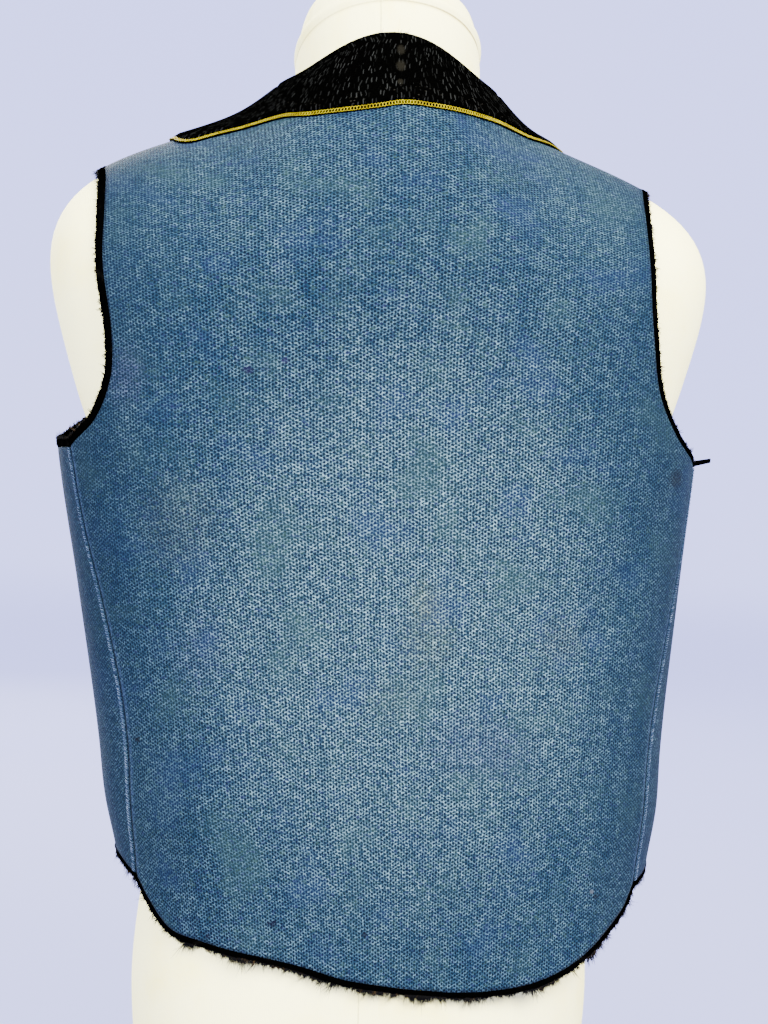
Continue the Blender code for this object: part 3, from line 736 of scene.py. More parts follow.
def collar_lines(left, right, neckline):
    """The blue neckline and the collar's outer edge, point for point from the left front to the right."""
    def front_outer(side, sign):
        steps = len(left["front_neckline"]) - 1
        shoulder = on_top(sign * COLLAR_SHOULDER[side], 0.0)
        placed = [(sign * x, -y, z) for x, y, z in rows(COLLAR_FRONT, "side", "forward", "height")]
        start = left["front_neckline"][0] if sign > 0 else right["front_neckline"][0]
        point = start + np.array([sign * (COLLAR_POINT - BINDING_WIDTH), 0, 0])
        return curve([point, *placed[::-1], shoulder], steps)

    shoulders = [on_top(COLLAR_SHOULDER["left"], 0.0), on_top(-COLLAR_SHOULDER["right"], 0.0)]
    placed = rows(COLLAR_BACK, "side", "behind", "height")
    outer_back = curve([shoulders[0], *placed, shoulders[1]], NECKLINE_STEPS)
    inner = chain(left["front_neckline"], neckline, right["front_neckline"][::-1])
    outer = chain(front_outer("left", 1), outer_back, front_outer("right", -1)[::-1])
    return inner, outer


def relief(points):
    """How far the creases push the cloth out."""
    push = np.zeros(len(points))
    flat = points[:, [0, 2]]
    for side, x, z, to_x, to_z, width, height in CREASES[1:]:
        start, way = np.array([x, z]), np.array([to_x - x, to_z - z])
        t = np.clip((flat - start) @ way / (way @ way), 0, 1)
        away = np.linalg.norm(flat - start - t[:, None] * way, axis=1)
        push += np.where(side * points[:, 1] > 0, height * np.exp(-((away / width) ** 2)), 0)
    return push


def unrolled(points):
    """Places on the flat cloth, in metres: round the body from the middle of the back, and up."""
    x, y, z = points.T
    x = x - smooth(VEST_SECTIONS, "sway", z)
    wide = np.abs(x) / smooth(VEST_SECTIONS, "half_width", z)
    depth = np.where(y > 0, smooth(VEST_SECTIONS, "back", z), smooth(VEST_SECTIONS, "front", z))
    half = SQUARENESS / 2
    by_side = np.arcsin(np.clip(wide, 0, 1) ** half)
    by_side = np.where(y > 0, by_side, np.pi - by_side)
    round_ = np.arctan2(wide**half, np.sign(y) * np.abs(y / depth) ** half)
    turn = by_side + smooth_step(*TURN_BLEND, wide) * (round_ - by_side)
    steps = np.linspace(0, np.pi, 400)
    across = MEAN_HALF_WIDTH * np.sin(steps) ** (1 / half)
    along = MEAN_DEPTH * np.sign(np.cos(steps)) * np.abs(np.cos(steps)) ** (1 / half)
    length = np.concatenate([[0], np.cumsum(np.hypot(np.diff(across), np.diff(along)))])
    flat = depth * np.clip(1 - np.clip(wide, 0, 1) ** SQUARENESS, 0, 1) ** (1 / SQUARENESS)
    return np.stack([np.sign(x) * np.interp(turn, steps, length), z + np.maximum(flat - np.abs(y), 0)], 1)


def make_mesh(name, points, faces, uv=None, values=None):
    """An object from points and faces. One with places on the cloth also has its faces turned outwards."""
    mesh = bpy.data.meshes.new(name)
    mesh.from_pydata(points.reshape(-1, 3).tolist(), [], faces)
    if uv is not None:
        shape = bmesh.new()
        shape.from_mesh(mesh)
        bmesh.ops.recalc_face_normals(shape, faces=shape.faces)
        shape.to_mesh(mesh)
        shape.free()
        corner = np.zeros(len(mesh.loops), int)
        mesh.loops.foreach_get("vertex_index", corner)
        mesh.uv_layers.new(name="UVMap").data.foreach_set("uv", uv.reshape(-1, 2)[corner].ravel())
    for key, value in (values or {}).items():
        mesh.attributes.new(key, "FLOAT", "POINT").data.foreach_set("value", np.asarray(value, float))
    mesh.shade_smooth()
    item = bpy.data.objects.new(name, mesh)
    bpy.context.scene.collection.objects.link(item)
    return item


def finish_piece(item, material, slot, *nodes):
    item.data.materials.append(material)
    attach(item, "root")
    if nodes:
        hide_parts(*nodes)
    return item


def grid_quads(index):
    """The quads of a grid of point numbers, or of many grids."""
    corners = index[..., :-1, :-1], index[..., :-1, 1:], index[..., 1:, 1:], index[..., 1:, :-1]
    return np.stack(corners, -1).reshape(-1, 4)


def tube_quads(rings, joined=0):
    """The quads of tubes through rings of points. Joined tubes run back into their first ring."""
    index = np.arange(rings[..., 0].size).reshape(rings.shape[:-1])
    ends = [(0, 0)] * (index.ndim - 2) + [(0, joined), (0, 1)]
    return grid_quads(np.pad(index, ends, "wrap")).tolist()


def tube(rings):
    """The faces of one tube, with its ends closed."""
    count, sides = rings.shape[:2]
    last = count * sides
    return tube_quads(rings) + [list(range(sides))[::-1], list(range(last - sides, last))]


def full_turn(count):
    return np.linspace(0, 2 * np.pi, count, endpoint=False)


def merged(grids):
    """The points and quads of grids that share edges, each point once."""
    flat = np.concatenate([grid.reshape(-1, 3) for grid in grids])
    _, first, index = np.unique(np.round(flat, 6), axis=0, return_index=True, return_inverse=True)
    index, quads, start = index.reshape(-1), [], 0
    for grid in grids:
        i = index[start : start + grid.shape[0] * grid.shape[1]].reshape(grid.shape[:2])
        quads.append(grid_quads(i))
        start += i.size
    return flat[first], np.concatenate(quads)


def nearest(points, line):
    """The distance from each point to a line of points."""
    best = np.full(len(points), 9.0)
    for a, b in zip(line[:-1], line[1:]):
        way = b - a
        t = np.clip((points - a) @ way / (way @ way), 0, 1)
        best = np.minimum(best, np.linalg.norm(points - a - t[:, None] * way, axis=1))
    return best


def seam_ridge(away):
    """The height of the ridge beside a side seam, at a distance from it."""
    return SEAM_RIDGE["height"] * np.exp(-(((away - SEAM_RIDGE["away"]) / SEAM_RIDGE["width"]) ** 2))


def cloth_panel(name, grids, seams, is_front, material):
    """A thin shell on the solid's skin, with its creases, its ridges along the side seams and its weave."""
    points, quads = merged(grids)
    seam = np.min([nearest(points, line[::4]) for line in seams], axis=0)
    creases = relief(points)
    push = creases + SEAM_GROOVE["height"] * np.exp(-((seam / SEAM_GROOVE["width"]) ** 2))
    if is_front:
        push += seam_ridge(seam)
    normals, count = outward(points), len(points)
    inside = points + (np.minimum(push, 0.0) + np.maximum(creases, 0.0))[:, None] * normals
    outside = points + (CLOTH + push)[:, None] * normals
    edges = {(int(a), int(b)) for quad in quads for a, b in zip(quad, np.roll(quad, -1))}
    rim = np.array([(a, b) for a, b in edges if (b, a) not in edges])
    sides = np.stack([rim[:, 1], rim[:, 0], rim[:, 0] + count, rim[:, 1] + count], 1)
    faces = np.concatenate([quads, quads[:, ::-1] + count, sides]).tolist()
    both, uv = np.concatenate([outside, inside]), np.tile(unrolled(points), (2, 1))
    item = make_mesh(name + "_cloth", both, faces, uv, {"seam": np.tile(seam, 2)})
    return finish_piece(item, material, "blue_cloth", name)


def wander(at, seed, step, size):
    """Smooth seeded unevenness along a line."""
    random = np.random.default_rng(seed)
    places = np.arange(at.min() - step, at.max() + 2 * step, step)
    return size * np.interp(at, places, random.normal(0, 1, len(places)))


def velvet_strip(name, path, across, normals, seed, material, extra=None):
    """A folded velvet strip with a rounded section, lumpy like worn pile."""
    turn = full_turn(STRIP_SIDES)
    a, n = (1 + np.sign(wave) * np.abs(wave) ** STRIP_POWER for wave in (np.cos(turn), np.sin(turn)))
    a = SEAM_GAP + STRIP_WIDTH[name] / 2 * a
    n = BINDING_THICKNESS / 2 * n - BINDING_SINK
    at = lengths(path)
    lumps = np.stack([wander(at, seed + k, LUMP_LENGTH, STRIP_LUMPS) for k in range(STRIP_SIDES)], 1)
    outer = np.maximum(np.cos(turn), -0.2)
    rings = path[:, None] + (a + lumps * outer)[..., None] * across[:, None]
    rings = rings + (n + np.abs(np.sin(turn)) * lumps)[..., None] * normals[:, None]
    uv = np.stack(np.broadcast_arrays(at[:, None], np.linspace(0, STRIP_UV_WIDTH, STRIP_SIDES)), -1)
    if extra is not None:
        rings = np.concatenate([extra(a, n), rings])
        uv = np.concatenate([uv[:1] - [[[0.02, 0]]] * np.ones((len(rings) - len(path), 1, 1)), uv])
    item = make_mesh(name.replace("binding", "velvet"), rings, tube(rings), uv)
    return finish_piece(item, material, "black_velvet", name)


def fibres(name, roots, ways, length, radius, curl, seed, material, slot):
    """Thin tapering threads: each starts at a root, runs its own way and curls."""
    random = np.random.default_rng(seed)
    count = len(roots)
    ways = unit(ways)
    bend = unit(random.normal(0, 1, (count, 3)) + np.array([0, 0, -0.5])) * curl[:, None]
    steps = np.array([0.0, 0.55, 1.0])
    spine = roots[:, None] + length[:, None, None] * (
        steps[None, :, None] * ways[:, None] + (steps**2)[None, :, None] * bend[:, None]
    )
    side = unit(np.cross(ways, random.normal(0, 1, (count, 3))))
    other = np.cross(ways, side)
    turn = full_turn(3)
    ring = np.cos(turn)[None, :, None] * side[:, None] + np.sin(turn)[None, :, None] * other[:, None]
    thick = radius[:, None] * np.array([1.0, 0.75, 0.15])
    points = spine[:, :, None] + thick[:, :, None, None] * ring[:, None]
    return finish_piece(make_mesh(name, points, tube_quads(points)), material, slot)


class Shading:
    """A material's node tree, built call by call."""

    def __init__(self, name, **constants):
        self.material = bpy.data.materials.new(name)
        self.material.use_nodes = True
        self.tree = self.material.node_tree
        self.shader = self.tree.nodes["Principled BSDF"]
        for key, value in constants.items():
            self.shader.inputs[key.replace("_", " ")].default_value = value

    def node(self, kind, inputs, output=0, **settings):
        made = self.tree.nodes.new(kind)
        for key, value in settings.items():
            setattr(made, key, value)
        for key, value in inputs.items():
            if isinstance(value, bpy.types.NodeSocket):
                self.tree.links.new(value, made.inputs[key])
            else:
                made.inputs[key].default_value = value
        return made.outputs[output]

    def math(self, operation, a, b=0.0, clamp=False):
        return self.node("ShaderNodeMath", {0: a, 1: b}, operation=operation, use_clamp=clamp)

    def plus(self, a, b, clamp=False):
        return self.math("ADD", a, b, clamp)

    def minus(self, a, b):
        return self.math("SUBTRACT", a, b)

    def times(self, a, b):
        return self.math("MULTIPLY", a, b)

    def above(self, a, b):
        return self.math("GREATER_THAN", a, b)

    def absolute(self, a):
        return self.math("ABSOLUTE", a)

    def cosine(self, a):
        return self.math("COSINE", a)

    def ellipse(self, place, x, z, wide, high):
        """0 in the middle of an ellipse, 1 on it and more outside it, as seen from behind or in front."""
        inputs = {"Vector": place, "Location": (-x / wide, 0, -z / high), "Scale": (1 / wide, 0, 1 / high)}
        offset = self.node("ShaderNodeMapping", inputs)
        return self.node("ShaderNodeVectorMath", {0: offset, 1: offset}, "Value", operation="DOT_PRODUCT")

    def coordinates(self, kind):
        return self.node("ShaderNodeTexCoord", {}, kind)

    def parts(self, vector):
        """A vector's x, y and z."""
        return tuple(self.node("ShaderNodeSeparateXYZ", {"Vector": vector}).node.outputs)

    def vectors(self, operation, a, b):
        return self.node("ShaderNodeVectorMath", {0: a, 1: b}, operation=operation)

    def cover(self, colour, mask, share, added):
        """Lays a share of another colour over this one, where the mask is."""
        return self.mix(self.times(mask, share), colour, added)

    def scale(self, vector, x, y, z=1.0):
        return self.node("ShaderNodeMapping", {"Vector": vector, "Scale": (x, y, z)})

    def noise(self, vector, size, detail=3.0, roughness=0.55, output="Fac"):
        inputs = {"Vector": vector, "Scale": 1 / size, "Detail": detail, "Roughness": roughness}
        return self.node("ShaderNodeTexNoise", inputs, output)

    def cells(self, vector, randomness):
        inputs = {"Vector": vector, "Scale": 1.0, "Randomness": randomness}
        return self.node("ShaderNodeTexVoronoi", inputs, "Distance")

    def ramp(self, value, low, high, to_low=0.0, to_high=1.0):
        inputs = {"Value": value, "From Min": low, "From Max": high, "To Min": to_low, "To Max": to_high}
        return self.node("ShaderNodeMapRange", inputs, interpolation_type="SMOOTHSTEP", clamp=True)

    def mix(self, factor, a, b, blend="MIX"):
        made = self.tree.nodes.new("ShaderNodeMix")
        made.data_type, made.blend_type = "RGBA", blend
        for index, value in ((0, factor), (6, a), (7, b)):
            if isinstance(value, bpy.types.NodeSocket):
                self.tree.links.new(value, made.inputs[index])
            else:
                made.inputs[index].default_value = value if index == 0 else (*value, 1)
        return made.outputs[2]

    def bump(self, height, distance, strength=1.0, normal=None):
        inputs = {"Height": height, "Distance": distance, "Strength": strength}
        if normal is not None:
            inputs["Normal"] = normal
        return self.node("ShaderNodeBump", inputs)

    def finish(self, colour, roughness=None, normal=None):
        for key, value in (("Base Color", colour), ("Roughness", roughness), ("Normal", normal)):
            if value is not None:
                self.tree.links.new(value, self.shader.inputs[key])
        return self.material


def blue_cloth():
    """Bird's-eye weave: navy dots in a staggered lattice among light threads, faded and marked, with
    painted shade.
    """
    m = Shading("mottled_blue_cloth", Roughness=0.90, Sheen_Weight=0.01, Sheen_Roughness=0.5,
                Specular_IOR_Level=0.03)
    uv = m.coordinates("UV")
    warp = m.noise(uv, 0.0075, 3.0, 0.65, "Color")
    u, v, _ = m.parts(m.vectors("ADD", uv, m.scale(warp, 0.0022, 0.0030)))
    around = m.cosine(m.times(u, 2 * np.pi / WEAVE_ACROSS))
    along = m.cosine(m.times(v, 2 * np.pi / WEAVE_ALONG))
    columns = m.cosine(m.times(u, 4 * np.pi / WEAVE_ACROSS))
    lattice = m.plus(m.times(m.times(around, along), 0.78), m.times(columns, 0.40))
    uneven = m.noise(uv, 0.0024, 2.0, 0.6)
    thread = m.noise(m.scale(uv, 0.8, 1.7), 0.0022, 3.0, 0.8)
    dot = m.ramp(m.plus(lattice, m.times(uneven, 2.2)), 0.92, 1.62)
    light = m.minus(m.times(thread, 4.4), m.times(lattice, 0.80))

    spread = m.noise(m.scale(uv, 1.0, 0.14), 0.020, 3.0, 0.6)
    blotch = m.noise(uv, 0.022, 4.0, 0.65)
    fleck = m.noise(m.scale(uv, 0.8, 1.2), 0.0060, 4.0, 0.80)
    light = m.ramp(m.plus(light, m.times(fleck, 1.5)), 2.85, 4.20)
    place = m.coordinates("Object")
    x, y, _ = m.parts(place)
    faded = m.ramp(m.ellipse(place, *FADED_MIDDLE, *FADED_SIZE), 0.0, 1.25, 1.0, 0.0)
    fade = m.plus(m.times(faded, 0.58), m.times(m.ramp(spread, 0.32, 0.72), 0.20))
    fade = m.plus(fade, m.times(m.ramp(blotch, 0.34, 0.70), 0.18))
    fade = m.plus(fade, m.times(m.ramp(fleck, 0.36, 0.70), 0.20), clamp=True)

    navy = m.mix(fade, (0.0003, 0.0014, 0.0042), (0.0007, 0.0024, 0.0056))
    middle_blue = m.mix(fade, (0.0014, 0.0070, 0.0148), (0.0058, 0.0158, 0.0232))
    pale = m.mix(fade, (0.0090, 0.0330, 0.0570), (0.1250, 0.2100, 0.2300))
    colour = m.mix(m.times(light, 0.95), middle_blue, pale)
    colour = m.mix(m.times(dot, 0.93), colour, navy)
    tint = m.noise(uv, 0.050, 2.0)
    colour = m.cover(colour, m.ramp(tint, 0.52, 0.75), 0.26, (0.0060, 0.0110, 0.0400))
    colour = m.cover(colour, m.ramp(tint, 0.28, 0.48, 1.0, 0.0), 0.34, (0.0085, 0.0210, 0.0200))
    speckle = m.noise(m.scale(uv, 1.0, 1.6), 0.0050, 2.0, 0.7)
    colour = m.cover(colour, m.ramp(speckle, 0.56, 0.72), 0.34, (0.0125, 0.0120, 0.0420))
    colour = m.cover(colour, m.ramp(speckle, 0.30, 0.44, 1.0, 0.0), 0.36, (0.0160, 0.0330, 0.0240))
    # Darker towards the sides: partly the cloth's own fading, partly painted shade where the sides turn
    # from the light
    side = m.ramp(m.absolute(x), 0.110, 0.200)
    colour = m.cover(colour, side, 0.45, (0.0020, 0.0066, 0.0130))

    ragged = m.times(m.minus(m.noise(uv, 0.0030, 3.0, 0.7), 0.5), 4.0)
    on_side = {1: m.above(y, 0.0), -1: m.above(m.times(y, -1.0), 0.0)}
    among_threads = m.ramp(light, 0.0, 0.7, 0.12, 1.0)
    # Stains and marks on the cloth, and the painted shade on the lower left of the back
    for facing, mx, mz, wide, high, strength, red, green, blue in MARKS[1:]:
        reach_out = m.plus(m.ellipse(place, mx, mz, wide, high), ragged)
        core, rim = (0.0, 1.0) if wide < 0.006 else (-0.3, 1.9)
        mask = m.times(m.ramp(reach_out, core, rim, strength, 0.0), on_side[facing])
        if strength <= 0.5:
            mask = m.times(mask, among_threads)
        colour = m.mix(mask, colour, (red, green, blue))

    seam = m.node("ShaderNodeAttribute", {}, "Fac", attribute_name="seam")
    ridge = m.ramp(m.absolute(m.minus(seam, 0.0026)), 0.0, 0.0022, 1.0, 0.0)
    worn = m.noise(uv, 0.0028, 3.0, 0.7)
    worn_ridge = m.times(ridge, m.ramp(worn, 0.35, 0.70, 0.0, 0.50))
    colour = m.mix(worn_ridge, colour, (0.0300, 0.0480, 0.0900))
    # Painted shadow in the side seams' groove
    colour = m.mix(m.ramp(seam, 0.0003, 0.0011, 0.75, 0.0), colour, (0.0010, 0.0024, 0.0060))

    weave = m.plus(m.times(lattice, -0.35), m.times(thread, 0.8))
    normal = m.bump(weave, 0.00022, 0.75)
    normal = m.bump(m.noise(uv, 0.014, 3.0), 0.0010, 0.30, normal)
    rough = m.ramp(thread, 0.2, 0.8, 0.78, 0.94)
    return m.finish(colour, rough, normal)


def velvet(name, strokes):
    """Black pile, worn to grey in places. The collar's pile is pressed into short radial strokes with
    painted glints.
    """
    m = Shading(name, Roughness=0.95, Specular_IOR_Level=0.0)
    uv = m.coordinates("UV")
    pile = m.noise(uv, 0.0012, 3.0, 0.7)
    patch = m.noise(uv, 0.016, 3.0, 0.6)
    colour = m.mix(m.ramp(pile, 0.35, 0.75), (0.0001, 0.0001, 0.0001), (0.0004, 0.0004, 0.0003))
    height = pile
    if strokes:
        wave = m.scale(m.noise(uv, 0.012, 2.0, 0.5, "Color"), 0.003, 0.003)
        cells = m.scale(m.vectors("ADD", uv, wave), 1 / 0.0030, 1 / 0.0062)
        near = m.cells(cells, 0.80)
        sideways_off, upward_off, _ = m.parts(m.vectors("SUBTRACT", cells, near.node.outputs["Position"]))
        shade = m.node("ShaderNodeSeparateColor", {"Color": near.node.outputs["Color"]}, 0)
        lean = m.plus(m.times(m.minus(shade.node.outputs[1], 0.5), 0.8), 0.55)
        across = m.plus(sideways_off, m.times(upward_off, lean))
        thin = m.ramp(m.absolute(across), 0.05, 0.17, 1.0, 0.0)
        length = m.ramp(m.absolute(upward_off), 0.22, 0.42, 1.0, 0.0)
        # Grey strokes of pressed pile: partly its wear, partly painted glints of light on its ribs
        pile_stroke_glint = m.times(m.times(thin, length), m.ramp(shade, 0.25, 1.00))
        pile_stroke_glint = m.times(pile_stroke_glint, m.ramp(patch, 0.30, 0.60, 0.35, 1.0))
        colour = m.mix(pile_stroke_glint, colour, (0.0120, 0.0126, 0.0112))
        low = m.ramp(m.parts(uv)[1], 0.004, 0.016, 1.0, 0.0)
        fine = m.cells(m.scale(uv, 1 / 0.0034, 1 / 0.0022), 0.6)
        speck = m.times(m.ramp(fine, 0.10, 0.24, 1.0, 0.0), m.times(low, m.ramp(patch, 0.4, 0.6)))
        colour = m.cover(colour, speck, 0.60, (0.0150, 0.0140, 0.0105))
        place = m.coordinates("Object")
        behind_neck = m.above(m.parts(place)[1], 0.0)
        for mx, mz, wide, high in WORN_SPOTS:
            worn = m.plus(m.ellipse(place, mx, mz, wide, high), m.times(m.minus(pile, 0.5), 3.0))
            mask = m.times(m.ramp(worn, 0.20, 1.50, 0.42, 0.0), behind_neck)
            colour = m.mix(mask, colour, (0.0085, 0.0078, 0.0052))
        height = m.plus(pile, m.times(pile_stroke_glint, 0.6))
    else:
        colour = m.cover(colour, m.ramp(patch, 0.56, 0.72), 0.4, (0.0034, 0.0030, 0.0022))
    return m.finish(colour, m.ramp(pile, 0.2, 0.8, 0.82, 0.98), m.bump(height, 0.0007, 0.8))


def gold_thread():
    """Twisted yellow thread, with painted shade in the grooves between its strands."""
    m = Shading("gold_thread", Roughness=0.55, Specular_IOR_Level=0.04)
    m.shader.inputs["Specular Tint"].default_value = (1.0, 0.75, 0.10, 1)
    place = m.coordinates("Object")
    strand = m.noise(m.scale(place, 1.0, 1.0, 1.6), 0.0006, 2.0, 0.6)
    patch = m.noise(place, 0.012, 2.0)
    bright = m.mix(m.ramp(patch, 0.3, 0.7), (0.130, 0.100, 0.0004), (0.230, 0.190, 0.0010))
    # Painted shade in the grooves between the strands
    colour = m.mix(m.ramp(strand, 0.30, 0.60), (0.026, 0.017, 0.0003), bright)
    return m.finish(colour, m.ramp(strand, 0.2, 0.8, 0.34, 0.55), m.bump(strand, 0.0002, 0.7))


def plain_thread(name, dark, light):
    m = Shading(name, Roughness=0.85, Sheen_Weight=0.01, Specular_IOR_Level=0.03)
    place = m.coordinates("Object")
    patch = m.noise(place, 0.010, 2.0)
    fine = m.noise(place, 0.0009, 2.0)
    both = m.plus(m.times(patch, 0.6), m.times(fine, 0.4))
    colour = m.mix(m.ramp(both, 0.35, 0.65), dark, light)
    return m.finish(colour, None, m.bump(fine, 0.0001, 0.6))


def jersey():
    """Cream cotton jersey stretched over the form: a fine rib of knit loops, a little soiling and painted
    shade.
    """
    m = Shading("cream_jersey", Roughness=0.80, Sheen_Weight=0.02, Sheen_Roughness=0.5,
                Specular_IOR_Level=0.08)
    uv = m.coordinates("UV")
    u, v, _ = m.parts(uv)
    rib = m.math("SINE", m.times(u, 2 * np.pi / KNIT_ACROSS))
    loop = m.math("SINE", m.times(v, 2 * np.pi / KNIT_ALONG))
    knit = m.plus(m.times(rib, 0.6), m.times(m.times(rib, loop), 0.4))
    soil = m.noise(uv, 0.060, 4.0, 0.6)
    fuzz = m.noise(uv, 0.0030, 3.0, 0.6)
    colour = m.mix(m.ramp(soil, 0.42, 0.75), (0.960, 0.905, 0.380), (0.930, 0.840, 0.260))
    colour = m.cover(colour, m.ramp(fuzz, 0.45, 0.75), 0.35, (0.860, 0.790, 0.400))
    # Painted shade in the hollows between the knit's loops
    colour = m.mix(m.ramp(knit, -1.0, 0.0, 0.12, 0.0), colour, (0.500, 0.460, 0.380))
    x, y, z = m.parts(m.coordinates("Object"))
    on_cap = m.minus(m.minus(z, m.times(y, NECK_SEAM["tilt"])), NECK_SEAM["height"])
    at_neck = m.above(z, 0.66)
    # Painted shadow line along the seam round the neck, partly the seam's own line, and painted shade just
    # under the cap's roll
    ring = m.times(m.ramp(m.absolute(on_cap), 0.0002, 0.0010, 1.0, 0.0), at_neck)
    under = m.times(m.ramp(on_cap, -0.0040, 0.0002), m.ramp(on_cap, 0.0, 0.0006, 1.0, 0.0))
    under = m.times(under, at_neck)
    back_seam = m.absolute(m.minus(x, FORM_SEAM["x"]))
    back_seam = m.times(m.ramp(back_seam, 0.0002, 0.0007, 1.0, 0.0), m.above(y, 0.0))
    uneven = m.ramp(fuzz, 0.3, 0.7, 0.6, 1.0)
    # The painted shade at the neck seam is stronger on the wearer's right
    seam_shade_by_side = m.ramp(x, -0.060, 0.030, 0.85, 0.30)
    colour = m.mix(m.times(under, seam_shade_by_side), colour, (0.330, 0.260, 0.050))
    colour = m.mix(m.times(ring, m.times(uneven, seam_shade_by_side)), colour, (0.120, 0.085, 0.018))
    colour = m.mix(m.times(back_seam, m.times(uneven, 0.60)), colour, (0.260, 0.215, 0.070))
    normal = m.bump(knit, 0.00012, 0.5)
    normal = m.bump(m.noise(uv, 0.010, 3.0), 0.0006, 0.25, normal)
    return m.finish(colour, m.ramp(fuzz, 0.2, 0.8, 0.74, 0.88), normal)


def stage_paint():
    """Pale lavender, deeper where the lamps fall on the floor, so that floor and backdrop look alike."""
    m = Shading("pale_backdrop", Roughness=0.95, Specular_IOR_Level=0.05)
    place = m.coordinates("Object")
    cloud = m.noise(place, 1.6, 2.0)
    colour = m.mix(m.ramp(cloud, 0.35, 0.65), (0.600, 0.620, 0.860), (0.680, 0.690, 0.830))
    away = m.node("ShaderNodeVectorMath", {0: place}, "Value", operation="LENGTH")
    deeper = m.times(m.ramp(away, 1.0, 4.6, 0.68, 0.66), m.ramp(m.parts(place)[2], 0.0, 0.18, 1.0, 0.0))
    colour = m.mix(deeper, colour, (0.0, 0.0, 0.0))
    colour = m.mix(0.75, colour, (0.0, 0.0, 0.0))
    m.shader.inputs["Emission Color"].default_value = BACKDROP_GLOW
    m.shader.inputs["Emission Strength"].default_value = 1.0
    return m.finish(colour)


def build_cloth(left, right, neckline, material):
    half = SEAM_GAP / 2
    left_edge = chain(shifted(left["seam"], half), left["back_armhole"])
    right_edge = chain(shifted(right["seam"], -half), right["back_armhole"])
    top = chain(left["shoulder"], neckline, right["shoulder"][::-1]) + half * BACKWARDS
    left_edge[-1], right_edge[-1] = top[0], top[-1]
    hem = back_hem(left_edge[0], right_edge[0])
    seams = [left["seam"], right["seam"]]
    back = cloth_panel("back", [sheet_points(hem, top, left_edge, right_edge)], seams, False, material)
    fronts = []
    for name, lines, sign in (("front_left", left, 1), ("front_right", right, -1)):
        side = shifted(lines["seam"], -sign * half)
        shoulder = even(lines["shoulder"], FRONT_SHOULDER_STEPS) - half * BACKWARDS
        armhole = np.concatenate([lines["front_armhole"][:-1], shoulder[:1]])
        edge = np.concatenate([lines["front_neckline"][:-1], shoulder[-1:]])
        level = curve(even(np.array([armhole[0], edge[0]]), FRONT_SHOULDER_STEPS), FRONT_SHOULDER_STEPS)
        level[0], level[-1] = armhole[0], edge[0]
        lower_edge = np.concatenate([side[:1], lines["front_hem"][1:]])
        underarm = np.concatenate([side[-1:], lines["underarm"][1:]])
        lower = sheet_points(lower_edge, chain(underarm, level), side, lines["front_edge"])
        upper = sheet_points(level, shoulder, armhole, edge)
        fronts.append(cloth_panel(name, [lower, upper], [lines["seam"]], True, material))
    return back, fronts, hem


def follow(path):
    """Moves a line of skin points with the creases."""
    return path + relief(path)[:, None] * outward(path)


def armhole_strip(name, lines, sign, tail, seed, material):
    path = chain(lines["back_armhole"], lines["front_armhole"][::-1], lines["underarm"][::-1])
    path[0] += SEAM_GAP * BACKWARDS
    path[-1] -= (TAIL_ROOM if tail else SEAM_GAP) * BACKWARDS
    across = -sign * sideways(path)
    up = unit(lines["seam"][-1] - lines["seam"][-STEPS_PER_CORNER])
    blend = np.clip(1 - lengths(path) / CORNER_REACH, 0, 1)[:, None]
    blend_end = np.clip(1 - (lengths(path)[-1] - lengths(path)) / CORNER_REACH, 0, 1)[:, None]
    across = unit(across + (blend + blend_end) * (up - across))
    normals = outward(path)

    def tail_rings(a, n):
        away = TAIL_LENGTH * unit(np.array([sign, *TAIL_LEAN]))
        flat = n - n.max()
        thin = np.linspace(0.80, 1.0, TAIL_STEPS)
        places = np.linspace(1.0, 0.22, TAIL_STEPS)
        return np.array([path[0] + t * away + k * a[:, None] * across[0] + flat[:, None] * BACKWARDS
                         for t, k in zip(places, thin)])

    strip = velvet_strip(name, follow(path), across, normals, seed, material, tail_rings if tail else None)
    return strip, path, across, normals


def edge_strip(name, hem, lines, sign, seed, material):
    path = chain(hem, lines["front_hem"], lines["front_edge"])
    across, normals = -sign * sideways(path), outward(path)
    strip = velvet_strip(name, follow(path), across, normals, seed, material)
    return strip, path, across, normals


def fray(name, path, across, normals, start, count, weight, long, seed, material, lean=(0, 0, 0)):
    """Ragged tufts of pile along a strip's outer edge. Weight says how thick they grow along the path."""
    random = np.random.default_rng(seed)
    at = lengths(path)
    grow = np.cumsum(weight(path) + 1e-6)
    tufts = count // FIBRES_PER_TUFT
    middle = np.interp(random.random(tufts) * grow[-1], grow, at)
    thick = np.interp(middle, at, weight(path)) / np.mean(weight(path))
    tuft_long = long * random.gamma(2.0, 0.42, tufts) * np.clip(0.75 + 0.25 * thick, 0.6, 1.5)
    tuft_lean = random.normal(0, 0.55, tufts)
    tuft_rise = random.normal(0.05, 0.30, tufts)
    tuft = random.integers(0, tufts, count)
    offset = random.normal(0, TUFT_SPREAD, count)
    place = np.clip(middle[tuft] + offset, 0, at[-1])
    point = read_line(path, at, place)
    side, out = unit(read_line(across, at, place)), unit(read_line(normals, at, place))
    along = np.cross(side, out)
    height = random.uniform(0.0002, BINDING_THICKNESS - 0.0006, count)
    roots = point + (start - random.uniform(0.0002, 0.0010, count))[:, None] * side + height[:, None] * out
    draw_in = -0.5 * offset / np.maximum(tuft_long[tuft], 0.0008)
    ways = side + (tuft_lean[tuft] + draw_in + random.normal(0, 0.22, count))[:, None] * along
    ways = ways + (tuft_rise[tuft] + random.normal(0, 0.20, count))[:, None] * out + np.array(lean)
    length = tuft_long[tuft] * random.uniform(0.45, 1.1, count)
    radius = random.uniform(0.00012, 0.00022, count)
    curl = random.uniform(0.05, 0.4, count)
    return fibres(name, roots, ways, length, radius, curl, seed + 1, material, "black_velvet")


def armhole_weight(path):
    """How thick fray grows along an armhole: thicker behind."""
    return 0.5 + (path[:, 1] > 0) * 0.8 + wander(lengths(path), 7, 0.01, 0.25) ** 2


